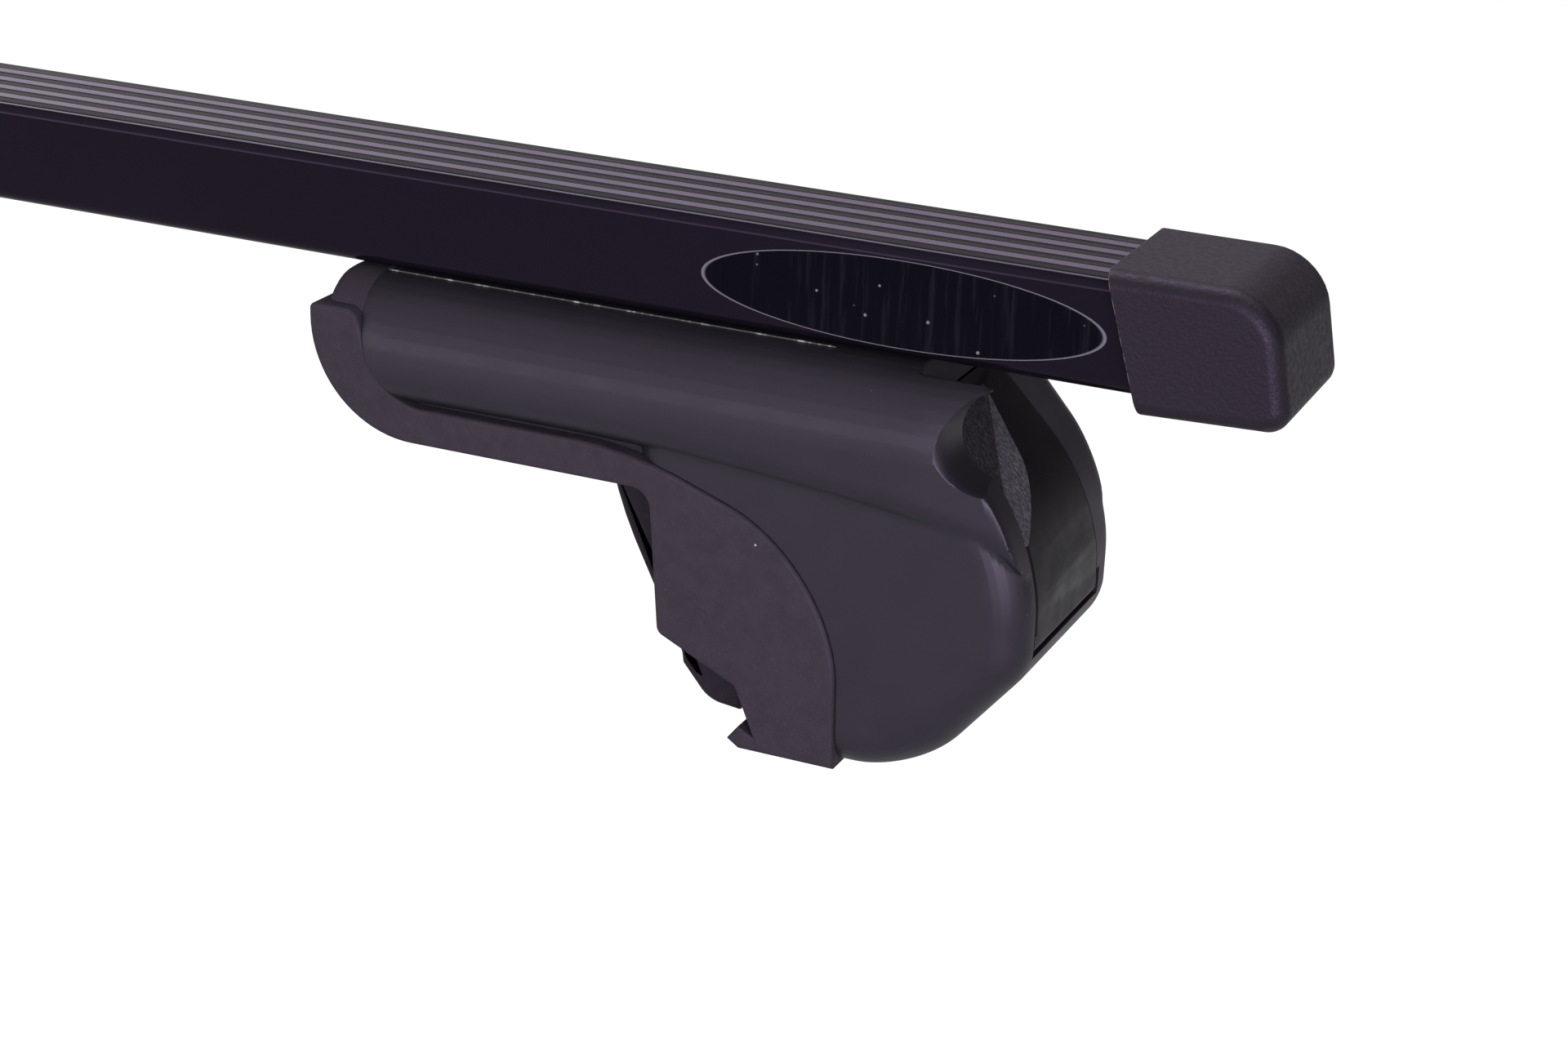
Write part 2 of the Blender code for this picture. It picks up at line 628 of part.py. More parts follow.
def make_jaw():
    top = ARM_UNDERSIDE - JAW_TOP_CLEARANCE
    belly = (-JAW_BELLY_X, top - JAW_BELLY_DROP, JAW_BELLY_RADIUS)
    corners = [(-JAW_FACE_X, top, 0.8 * MM), belly] + JAW_TOE + [
        (-HEEL_X - 1.6 * MM, JAW_FLOOR, 0), (-JAW_BACK_X, JAW_FLOOR, 0), (-JAW_BACK_X, top, 0)]
    body = side_plate(corners, JAW_HALF, 1.2 * MM, 1)
    bore = rod("X", SCREW_RADIUS + SCREW_CLEARANCE, -SCREW_TIP_X - 1.5 * MM, -JAW_BACK_X + CUT_MARGIN,
               (0, SCREW_Z))
    slot_half = CLIP_HALF + GAP
    slot = block(-CLIP_X - CLIP_THICK / 2 - GAP, -CLIP_X + CLIP_THICK / 2 + GAP, -slot_half,
                 slot_half, SCREW_Z - slot_half, top + CUT_MARGIN)
    return cut(body, bore, slot)


def make_clip():
    half = CLIP_HALF
    fork = NECK_RADIUS + GAP
    plate = block(-CLIP_X - CLIP_THICK / 2, -CLIP_X + CLIP_THICK / 2, -half, half,
                  SCREW_Z - half, SCREW_Z + half)
    low, high = -CLIP_X - CLIP_THICK, -CLIP_X + CLIP_THICK
    hole = rod("X", fork, low, high, (0, SCREW_Z))
    mouth = block(low, high, -fork, fork, SCREW_Z - half - CUT_MARGIN, SCREW_Z)
    return cut(plate, hole, mouth)


def make_clamp_screw():
    neck_half = CLIP_THICK / 2 + GAP
    shank = rod("X", SCREW_RADIUS, -SCREW_TIP_X, SCREW_HEAD_X + 1 * MM, (0, SCREW_Z))
    head = rod("X", SCREW_HEAD_RADIUS, SCREW_HEAD_X, SCREW_HEAD_X + SCREW_HEAD_HEIGHT, (0, SCREW_Z))
    ring = cut(rod("X", SCREW_RADIUS + 1 * MM, -CLIP_X - neck_half, -CLIP_X + neck_half, (0, SCREW_Z)),
               rod("X", NECK_RADIUS, -CLIP_X - CLIP_THICK, -CLIP_X + CLIP_THICK, (0, SCREW_Z)))
    outer = SCREW_HEAD_X + SCREW_HEAD_HEIGHT
    socket = rod("X", SCREW_SOCKET_RADIUS, outer - SCREW_SOCKET_DEPTH, outer + 1 * MM, (0, SCREW_Z),
                 6)
    return cut(join(shank, head), ring, socket)


def make_screw_nut():
    start = -BRACKET_WEB_X + BRACKET_THICK / 2 + GAP
    body = block(start, start + NUT_THICK, -NUT_HALF, NUT_HALF, SCREW_Z - NUT_HALF,
                 SCREW_Z + NUT_HALF)
    hole = rod("X", SCREW_RADIUS + SCREW_CLEARANCE, start - 1 * MM, start + NUT_THICK + 1 * MM,
               (0, SCREW_Z))
    return cut(body, hole)


def make_bracket():
    half = BRACKET_THICK / 2
    plane = FOOT_HEIGHT - half
    corners = [(-BRACKET_INNER_X, plane - half, 0),
               (-BRACKET_WEB_X - half, plane - half, BRACKET_BEND - half),
               (-BRACKET_WEB_X - half, BRACKET_WEB_FOOT, 0), (-BRACKET_WEB_X + half, BRACKET_WEB_FOOT, 0),
               (-BRACKET_WEB_X + half, plane + half, BRACKET_BEND + half),
               (-BRACKET_INNER_X, plane + half, 0)]
    strap = side_plate(corners, BRACKET_HALF)
    holes = [rod("Z", BAR_BOLT_RADIUS + BAR_BOLT_CLEARANCE, plane - CUT_MARGIN, plane + CUT_MARGIN,
                 (-x, 0)) for x in BAR_BOLT_X]
    screw_hole = rod("X", SCREW_RADIUS + SCREW_CLEARANCE, -BRACKET_WEB_X - CUT_MARGIN / 2,
                     -BRACKET_WEB_X + CUT_MARGIN / 2, (0, SCREW_Z))
    return cut(strap, screw_hole, *holes)


def make_bar_bolt(x):
    washer_top = FOOT_HEIGHT - BRACKET_THICK - GAP
    head_top = washer_top - WASHER_THICK - GAP
    head_low = head_top - BAR_BOLT_HEAD_HEIGHT
    end = BAR_BOTTOM + BAR_WALL + GAP + NUT_PLATE_THICK + BAR_BOLT_SPARE
    head = rod("Z", BAR_BOLT_HEAD_RADIUS, head_low, head_top, (-x, 0))
    shank = rod("Z", BAR_BOLT_RADIUS, head_top - 1 * MM, end, (-x, 0))
    socket = rod("Z", BAR_BOLT_SOCKET_RADIUS, head_low - 1 * MM, head_low + 3 * MM, (-x, 0), 6)
    return cut(join(head, shank), socket)


def make_washer(x):
    top = FOOT_HEIGHT - BRACKET_THICK - GAP
    disc = rod("Z", WASHER_RADIUS, top - WASHER_THICK, top, (-x, 0))
    hole = rod("Z", BAR_BOLT_RADIUS + BAR_BOLT_CLEARANCE, top - WASHER_THICK - 1 * MM, top + 1 * MM,
               (-x, 0))
    return cut(disc, hole)


def make_nut_plate():
    low = BAR_BOTTOM + BAR_WALL + GAP
    plate = block(-max(BAR_BOLT_X) - NUT_PLATE_MARGIN, -min(BAR_BOLT_X) + NUT_PLATE_MARGIN,
                  -NUT_PLATE_HALF, NUT_PLATE_HALF, low, low + NUT_PLATE_THICK)
    holes = [rod("Z", BAR_BOLT_RADIUS + GAP, low - 1 * MM, low + NUT_PLATE_THICK + 1 * MM, (-x, 0))
             for x in BAR_BOLT_X]
    return cut(plate, *holes)


def make_cover():
    face = cover_outline(COVER_THICK, [(END_REACH, HINGE_Z, 0)] + end_corners()[2:])
    leaf = keep(side_plate(face, COVER_HALF), swing_limit(0))
    barrel = rod("Y", HINGE_BOSS_RADIUS, -COVER_HALF, COVER_HALF, (HINGE_X, HINGE_Z))
    pin_hole = rod("Y", HINGE_PIN_RADIUS + HINGE_CLEARANCE, -COVER_HALF - 1 * MM, COVER_HALF + 1 * MM,
                   (HINGE_X, HINGE_Z), 16)
    return cut(join(leaf, barrel), pin_hole, grip_facet())


def grip_facet():
    """Slants the cover's front edge beside the finger notch, so that a fingertip gets under it."""
    top_z = FOOT_HEIGHT - GRIP_TOP_DROP
    low_z = FOOT_HEIGHT - GRIP_LOW_DROP
    top = Vector((lean_x(top_z), -GRIP_TOP_Y, top_z))
    low = Vector((lean_x(low_z), -COVER_HALF, low_z))
    middle_z = (top_z + low_z) / 2
    deep = Vector((lean_x(middle_z), -COVER_HALF, middle_z)) - lean_normal() * GRIP_DEPTH
    facing = (deep - top).cross(low - top).normalized()
    if facing.x < 0:
        facing.negate()
    size = 2 * CUT_MARGIN
    cutter = block(-size, size, -size, size, 0, size)
    turn = facing.to_track_quat("Z", "Y").to_matrix().to_4x4()
    cutter.data.transform(Matrix.Translation(top) @ turn)
    return cutter


def make_hinge_pin():
    return rod("Y", HINGE_PIN_RADIUS, -HINGE_PIN_HALF, HINGE_PIN_HALF, (HINGE_X, HINGE_Z), 16)


# The bar and its caps

def bar_section():
    """The tube's outer section in YZ, without its ribs."""
    half = BAR_WIDTH / 2
    top = BAR_BOTTOM + BAR_HEIGHT
    return rounded([(-half, BAR_BOTTOM, BAR_CORNER), (half, BAR_BOTTOM, BAR_CORNER),
                    (half, top, BAR_CORNER), (-half, top, BAR_CORNER)], 3)


def make_rib(index):
    """One rib of the bar's top, with its foot in the tube's wall; it ends before the caps."""
    top = BAR_BOTTOM + BAR_HEIGHT
    centre = (index - (RIB_COUNT - 1) / 2) * RIB_PITCH
    section = [(centre + share * RIB_WIDTH, top + height * RIB_HEIGHT) for share, height in
               ((-0.5, -1), (0.5, -1), (0.5, 0), (0.32, 0.75), (0.15, 1), (-0.15, 1), (-0.32, 0.75),
                (-0.5, 0))]
    return push(section, -RIB_REACH, RIB_REACH, ALONG_X)


def make_bar():
    half = BAR_LENGTH / 2
    tube = join(push(bar_section(), -half, half, ALONG_X), *[make_rib(i) for i in range(RIB_COUNT)])
    inner_half = BAR_WIDTH / 2 - BAR_WALL
    low, high = BAR_BOTTOM + BAR_WALL, BAR_BOTTOM + BAR_HEIGHT - BAR_WALL
    bore = block(-half - CUT_MARGIN, half + CUT_MARGIN, -inner_half, inner_half, low, high)
    holes = [rod("Z", BAR_BOLT_RADIUS + BAR_BOLT_CLEARANCE, BAR_BOTTOM - 1 * MM, low + 1 * MM,
                 (side * (FOOT_X - x), 0), 16) for side in (1, -1) for x in BAR_BOLT_X]
    return cut(tube, bore, *holes)


def make_cap():
    """The right-hand cap, in the bar's frame."""
    end = BAR_LENGTH / 2
    mouth = end - CAP_OVERLAP
    nose = end + CAP_NOSE
    top = BAR_BOTTOM + BAR_HEIGHT + CAP_WALL
    low = BAR_BOTTOM - CAP_SKIRT
    start = mouth - CAP_OVERLAP
    corners = [(start, low, 0), (nose, low + 2 * MM, 4 * MM),
               (nose - CAP_NOSE_LEAN, top, CAP_NOSE_RADIUS), (start, top, 0)]
    body = side_plate(corners, BAR_WIDTH / 2 + CAP_WALL, CAP_EDGE, 3)
    far = start - CUT_MARGIN
    margin = BAR_WIDTH
    trim = side_slab([(far, low - margin, 0), (mouth + CAP_MOUTH_LEAN * (1 + margin / (top - low)),
                      low - margin, 0), (mouth, top, 0), (mouth - margin * CAP_MOUTH_LEAN / (top - low),
                      top + margin, 0), (far, top + margin, 0)], -2 * BAR_WIDTH, 2 * BAR_WIDTH)
    room = BAR_WIDTH / 2 + GAP
    pocket = block(mouth - CUT_MARGIN, end + GAP, -room, room, BAR_BOTTOM - GAP,
                   BAR_BOTTOM + BAR_HEIGHT + RIB_HEIGHT + GAP)
    return cut(body, trim, pocket)


# Assembly

def finish(solid, name, origin, material):
    """Gives a solid its name, its origin and its material, shaded smooth over its round edges."""
    mesh = solid.data
    mesh.transform(Matrix.Translation(-Vector(origin)))
    bpy.data.objects.remove(solid, do_unlink=True)
    mesh.name = name
    mesh.materials.clear()
    mesh.materials.append(material)
    mesh.shade_smooth()
    mesh.set_sharp_from_angle(angle=math.radians(35))
    return mesh


def place(name, mesh, origin, parent, collection):
    made = bpy.data.objects.new(name, mesh)
    made.parent = parent
    made.location = origin
    collection.objects.link(made)
    return made


def foot_pieces(finishes):
    """Name, mesh and origin of each piece of a foot; a moving piece starts on its joint's axis."""
    plastic, rubber, gloss, steel, zinc = finishes
    ground = (0, 0, 0)
    hinge = (HINGE_X, 0, HINGE_Z)
    screw = (-JAW_BACK_X, 0, SCREW_Z)
    solids = [("foot_shell", make_shell(), ground, plastic),
              ("rail_boot", make_boot(), ground, rubber),
              ("end_cover", make_cover(), hinge, gloss),
              ("cover_hinge_pin", make_hinge_pin(), hinge, steel),
              ("clamp_jaw", make_jaw(), screw, rubber),
              ("jaw_clip", make_clip(), screw, steel),
              ("clamp_screw", make_clamp_screw(), screw, zinc),
              ("screw_nut", make_screw_nut(), ground, zinc),
              ("bar_bracket", make_bracket(), ground, zinc),
              ("nut_plate", make_nut_plate(), ground, zinc)]
    for place_name, x in zip(("inner", "outer"), BAR_BOLT_X):
        solids.append(("bar_bolt_" + place_name, make_bar_bolt(x), ground, zinc))
        solids.append(("bar_washer_" + place_name, make_washer(x), ground, zinc))
    return [(name, finish(solid, name, origin, material), origin)
            for name, solid, origin, material in solids]


def build():
    clear_scene()
    part = make_collection("roof_bar_fit_kit")
    plastic = make_material("shell_plastic", (0.022, 0.022, 0.026), 0.42)
    rubber = make_material("boot_rubber", (0.032, 0.029, 0.034), 0.72)
    gloss = make_material("cover_plastic", (0.024, 0.022, 0.028), 0.36)
    steel = make_material("spring_steel", (0.55, 0.55, 0.56), 0.35, 1.0)
    zinc = make_material("zinc_steel", (0.62, 0.62, 0.60), 0.4, 1.0)
    coat = make_material("bar_coating", (0.008, 0.008, 0.012), 0.12)
    grain = make_material("cap_plastic", (0.026, 0.024, 0.028), 0.62)
    pieces = foot_pieces((plastic, rubber, gloss, steel, zinc))
    for side, turn in (("right", 0.0), ("left", math.pi)):
        foot = bpy.data.objects.new("foot_" + side, None)
        foot.location = (FOOT_X * math.cos(turn), 0, 0)
        foot.rotation_euler = (0, 0, turn)
        part.objects.link(foot)
        for name, mesh, origin in pieces:
            place(name + "_" + side, mesh, origin, foot, part)
    middle = (0, 0, 0)
    place("roof_bar", finish(make_bar(), "roof_bar", middle, coat), middle, None, part)
    cap = finish(make_cap(), "end_cap", middle, grain)
    place("end_cap_right", cap, middle, None, part)
    left_cap = place("end_cap_left", cap, middle, None, part)
    left_cap.rotation_euler = (0, 0, math.pi)


if __name__ == "__main__":
    build()
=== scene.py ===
"""Roof bar on two rail feet: the moulded, rubber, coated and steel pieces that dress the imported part."""

import math

import bmesh
import bpy
from bpy.props import FloatProperty, FloatVectorProperty, IntProperty, PointerProperty
from mathutils import Matrix, Vector


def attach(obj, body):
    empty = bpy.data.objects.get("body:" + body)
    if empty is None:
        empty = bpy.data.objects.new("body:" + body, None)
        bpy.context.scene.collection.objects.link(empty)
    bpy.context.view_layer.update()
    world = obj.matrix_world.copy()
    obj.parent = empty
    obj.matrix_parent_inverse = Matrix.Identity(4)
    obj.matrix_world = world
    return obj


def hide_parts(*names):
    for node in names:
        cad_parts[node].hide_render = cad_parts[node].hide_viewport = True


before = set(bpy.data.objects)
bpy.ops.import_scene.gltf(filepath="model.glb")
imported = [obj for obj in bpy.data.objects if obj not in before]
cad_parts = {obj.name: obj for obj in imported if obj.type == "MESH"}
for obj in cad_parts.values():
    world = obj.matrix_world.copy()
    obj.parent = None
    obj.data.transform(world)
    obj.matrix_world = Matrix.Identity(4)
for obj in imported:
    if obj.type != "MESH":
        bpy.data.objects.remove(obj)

bl_info = {
    "name": "Roof bar and rail feet",
    "version": (1, 0, 0),
    "blender": (4, 5, 0),
    "location": "View3D > Sidebar > Roof bar",
    "description": "Builds the shown pieces of a ribbed roof bar on two clamping feet",
    "category": "Object",
}

MM = 0.001
FOOT_X = 528.0
SIDES = (("right", 0.0), ("left", math.pi))

# Foot, in millimetres from the centre of its round outer end, x outboard and z up from the ground
FOOT_TOP = 77.5
END_OUTLINE = [(9.6, 0, 25), (30, 24.7, 10), (30, 48.7, 38), (4.7, 77.5, 0)]
HINGE = (27.3, 30.0)
SCREW_Z = 40.0
SHELL_START = 105.3
BOOT_OUTLINE = [(-23.8, 0, 0), (-4.6, 0, 0), (-5.6, 39.8, 34), (-48.0, 54.8, 60),
                (-101.1, 54.8, 12), (-105.3, 72.0, 3), (-115.4, 72.0, 1),
                (-115.4, 47.6, 22), (-43.6, 47.6, 4), (-41.2, 19.9, 2), (-25.0, 12.4, 2),
                (-20.9, 2.8, 0), (-24.0, 4.4, 0), (-26.2, 1.6, 0)]
ARM_DEPTHS = [(-106.0, 22.7), (-50.0, 22.7), (-16.0, 25.0), (6.0, 27.2), (17.0, 29.5),
              (24.0, 32.1), (33.0, 37.0), (45.0, 44.0)]
COVER_HALF = 17.7
COVER_FOOT_END = 16.4
# Planes of the cover, each as a point and where it looks: its far edge, its scratched strip with its
# painted highlight, its grip
FAR_EDGE = (Vector((30.0, 16.3, 30.4)), Vector((-1.35, 30.6, 4.3)))
STRIP = (Vector((17.4, -2.8, 63.1)), Vector((0.639, -0.323, 0.698)))
GRIP = (Vector((18.8, -10.4, 58.3)), Vector((0.74, -0.19, 0.64)))
BAR_LOW = 77.8
BAR_TOP = 97.8
BAR_END = 587.5

# Film on the bar's front, in millimetres: the middle and half the size of its oval, as (x, z)
FILM_MIDDLE = (527.5, 87.4)
FILM_HALF = (38.5, 8.1)

# How white the floor is where it is looked at, and where it is mirrored
FLOOR_SHOWN = 0.9
FLOOR_MIRRORED = 0.38


# Solids: everything is shaped in millimetres, and settle() brings it to metres and to its place

def spot(axis, a, b, along):
    """The point that an outline place (a, b) stands for, with its place along the axis."""
    return Vector({"X": (along, a, b), "Y": (a, along, b), "Z": (a, b, along)}[axis])


def flat_place(axis, point):
    """The outline place of a point, looked at along the axis."""
    return Vector({"X": point.yz, "Y": point.xz, "Z": point.xy}[axis])


def height(axis, point):
    return point["XYZ".index(axis)]


def prism(axis, corners, low, high, arc=7):
    """A plate pushed along an axis; the corners (a, b, radius) of its outline are bevelled round."""
    shape = bmesh.new()
    base = shape.faces.new([shape.verts.new(spot(axis, a, b, low)) for a, b, radius in corners])
    made = bmesh.ops.extrude_face_region(shape, geom=[base])
    moved = [item for item in made["geom"] if isinstance(item, bmesh.types.BMVert)]
    bmesh.ops.translate(shape, verts=moved, vec=spot(axis, 0, 0, high - low))
    bmesh.ops.recalc_face_normals(shape, faces=shape.faces[:])
    found = []
    for (a, b, radius), (reach, turn) in zip(corners, corner_reaches(corners)):
        if radius and reach > 1e-3:
            corner = Vector((a, b))
            found.append((reach, turn, next(
                line for line in shape.edges
                if all((flat_place(axis, vert.co) - corner).length < 1e-3 for vert in line.verts))))
    for reach, turn, edge in found:
        bevel(shape, [edge], reach, max(2, round(arc * (math.pi - turn) / (math.pi / 2))))
    return shape


def corner_reaches(corners):
    """How far each rounding runs along its edges, shortened where two would meet, and its turn."""
    places = [Vector((a, b)) for a, b, radius in corners]
    count = len(places)
    found = []
    for index, (a, b, radius) in enumerate(corners):
        before = places[index - 1] - places[index]
        after = places[(index + 1) % count] - places[index]
        turn = before.angle(after)
        flat = turn > math.pi - 0.01
        found.append([0.0 if flat else radius / math.tan(turn / 2), turn])
    for index in range(count):
        following = (index + 1) % count
        room = 0.99 * (places[following] - places[index]).length
        wanted = found[index][0] + found[following][0]
        if wanted > room:
            found[index][0] *= room / wanted
            found[following][0] *= room / wanted
    return found


def bevel(shape, edges, amount, steps):
    bmesh.ops.bevel(shape, geom=edges, offset=amount, offset_type="OFFSET", affect="EDGES",
                    segments=steps, profile=0.5, material=-1, clamp_overlap=False)


def rims(shape, axis, low=True, high=True):
    """The edges round the two flat faces that an axis looks at."""
    places = [height(axis, vert.co) for vert in shape.verts]
    ends = [end for end, wanted in ((min(places), low), (max(places), high)) if wanted]
    return [line for line in shape.edges
            if any(all(abs(height(axis, vert.co) - end) < 1e-4 for vert in line.verts) for end in ends)
            and len(line.link_faces) == 2 and line.calc_face_angle() > 0.5]


def trim(shape, point, facing):
    """Takes away what lies beyond a plane, on the side that it faces, and closes the cut."""
    everything = shape.verts[:] + shape.edges[:] + shape.faces[:]
    found = bmesh.ops.bisect_plane(shape, geom=everything, dist=1e-4, plane_co=point,
                                   plane_no=facing, clear_outer=True)
    lines = [item for item in found["geom_cut"] if isinstance(item, bmesh.types.BMEdge)]
    bmesh.ops.holes_fill(shape, edges=lines, sides=0)
    bmesh.ops.recalc_face_normals(shape, faces=shape.faces[:])


def rod(axis, radius, low, high, centre=(0, 0), sides=48):
    """A round bar along an axis, from low to high; centre holds its two other places."""
    shape = bmesh.new()
    bmesh.ops.create_cone(shape, cap_ends=True, segments=sides, radius1=radius, radius2=radius,
                          depth=high - low)
    turn = {"X": Matrix.Rotation(math.pi / 2, 4, "Y"), "Y": Matrix.Rotation(-math.pi / 2, 4, "X"),
            "Z": Matrix.Identity(4)}[axis]
    middle = spot(axis, centre[0], centre[1], (low + high) / 2)
    bmesh.ops.transform(shape, matrix=Matrix.Translation(middle) @ turn, verts=shape.verts[:])
    return shape


def block(x0, x1, y0, y1, z0, z1):
    shape = bmesh.new()
    bmesh.ops.create_cube(shape, size=1.0)
    place = Matrix.Translation(((x0 + x1) / 2, (y0 + y1) / 2, (z0 + z1) / 2))
    scale = Matrix.Diagonal((x1 - x0, y1 - y0, z1 - z0, 1.0))
    bmesh.ops.transform(shape, matrix=place @ scale, verts=shape.verts[:])
    return shape


def turned(axis, profile, centre, steps=96):
    """Spins a profile of (radius, place along the axis) full round and closes its two ends."""
    shape = bmesh.new()
    along = spot(axis, 0, 0, 1)
    middle = spot(axis, centre[0], centre[1], 0)
    line = [shape.verts.new(middle + spot(axis, radius, 0, place)) for radius, place in profile]
    edges = [shape.edges.new(pair) for pair in zip(line, line[1:])]
    bmesh.ops.spin(shape, geom=line + edges, cent=middle, axis=along, angle=2 * math.pi,
                   steps=steps, use_merge=True)
    bmesh.ops.remove_doubles(shape, verts=shape.verts[:], dist=1e-4)
    bmesh.ops.holes_fill(shape, edges=[e for e in shape.edges if e.is_boundary], sides=0)
    bmesh.ops.recalc_face_normals(shape, faces=shape.faces[:])
    return shape


def as_object(shape, name="solid"):
    """Hands a finished bmesh over to an object; an object passes through."""
    if isinstance(shape, bpy.types.Object):
        return shape
    mesh = bpy.data.meshes.new(name)
    shape.to_mesh(mesh)
    shape.free()
    made = bpy.data.objects.new(name, mesh)
    bpy.context.scene.collection.objects.link(made)
    return made


def apply_all(target):
    graph = bpy.context.evaluated_depsgraph_get()
    mesh = bpy.data.meshes.new_from_object(target.evaluated_get(graph))
    target.modifiers.clear()
    old, target.data = target.data, mesh
    bpy.data.meshes.remove(old)
    return target


def combine(operation, first, others, solver):
    target = as_object(first)
    tools = [as_object(other) for other in others]
    for tool in tools:
        change = target.modifiers.new("combine", "BOOLEAN")
        change.operation = operation
        change.solver = solver
        change.use_self = solver == "EXACT"
        change.object = tool
    apply_all(target)
    for tool in tools:
        mesh = tool.data
        bpy.data.objects.remove(tool, do_unlink=True)
        bpy.data.meshes.remove(mesh)
    if not target.data.polygons:
        raise RuntimeError("nothing is left after " + operation)
    return target


def join(first, *others, solver="EXACT"):
    return combine("UNION", first, others, solver)


def cut(first, *others, solver="EXACT"):
    return combine("DIFFERENCE", first, others, solver)


def keep(first, *others, solver="EXACT"):
    return combine("INTERSECT", first, others, solver)


def soften(target, voxel, passes):
    """Remeshes a joined moulding and smooths it, so that its edges and inner corners run soft."""
    grid = target.modifiers.new("grid", "REMESH")
    grid.mode = "VOXEL"
    grid.voxel_size = voxel
    apply_all(target)
    shape = bmesh.new()
    shape.from_mesh(target.data)
    for _ in range(passes):
        bmesh.ops.smooth_vert(shape, verts=shape.verts[:], factor=0.5, use_axis_x=True,
                              use_axis_y=True, use_axis_z=True)
    shape.to_mesh(target.data)
    shape.free()
    return target


def ease_sharp(target, amount, steps=2, angle=math.radians(38)):
    """Breaks the sharp outward edges of a finished solid with a small bevel, and marks them as worn."""
    shape = bmesh.new()
    shape.from_mesh(target.data)
    worn = shape.faces.layers.float.new("worn")
    bmesh.ops.remove_doubles(shape, verts=shape.verts[:], dist=1e-3)
    bmesh.ops.dissolve_limit(shape, angle_limit=math.radians(0.4), verts=shape.verts[:],
                             edges=shape.edges[:])
    chosen = [line for line in shape.edges
              if len(line.link_faces) == 2 and line.is_convex and line.calc_face_angle() > angle]
    made = bmesh.ops.bevel(shape, geom=chosen, offset=amount, offset_type="OFFSET", affect="EDGES",
                           segments=steps, profile=0.5, material=-1, clamp_overlap=True)
    for face in made["faces"]:
        face[worn] = 1.0
    shape.to_mesh(target.data)
    shape.free()
    return target


def mark_place(mesh):
    """Keeps each point's place in its foot, in millimetres, for patterns that follow the foot."""
    layer = mesh.attributes.new("foot_place", "FLOAT_VECTOR", "POINT")
    layer.data.foreach_set("vector", [value for vert in mesh.vertices for value in vert.co])


def shade(target, sharp=32.0):
    """Smooth shading that keeps flat faces flat and sharp edges sharp."""
    target.data.shade_smooth()
    target.data.set_sharp_from_angle(angle=math.radians(sharp))
    weights = target.modifiers.new("weights", "WEIGHTED_NORMAL")
    weights.keep_sharp = True
    weights.weight = 80
    return apply_all(target)


def settle(target, name, body, finish, replaced, turn=0.0, foot=True):
    """Brings a copy of a finished solid to its place on the object, and says what it is."""
    mesh = target.data.copy()
    mesh.name = name
    place = Matrix.Scale(MM, 4)
    if foot:
        place = Matrix.Rotation(turn, 4, "Z") @ Matrix.Translation((FOOT_X * MM, 0, 0)) @ place
    mesh.transform(place)
    mesh.materials.clear()
    mesh.materials.append(finish)
    piece = bpy.data.objects.new(name, mesh)
    bpy.context.scene.collection.objects.link(piece)
    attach(piece, body)
    if replaced:
        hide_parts(*replaced)
    return piece


def settle_pair(target, name, body, finish, node):
    """Settles a piece of the foot twice: on the right foot, and turned half round on the left."""
    mark_place(target.data)
    for side, turn in SIDES:
        carrier = body if body == "bar_and_feet" else body + "_" + side
        settle(target, name + "_" + side, carrier, finish, [node + "_" + side], turn)
    drop(target)


def drop(target):
    mesh = target.data
    bpy.data.objects.remove(target, do_unlink=True)
    bpy.data.meshes.remove(mesh)


# Finishes

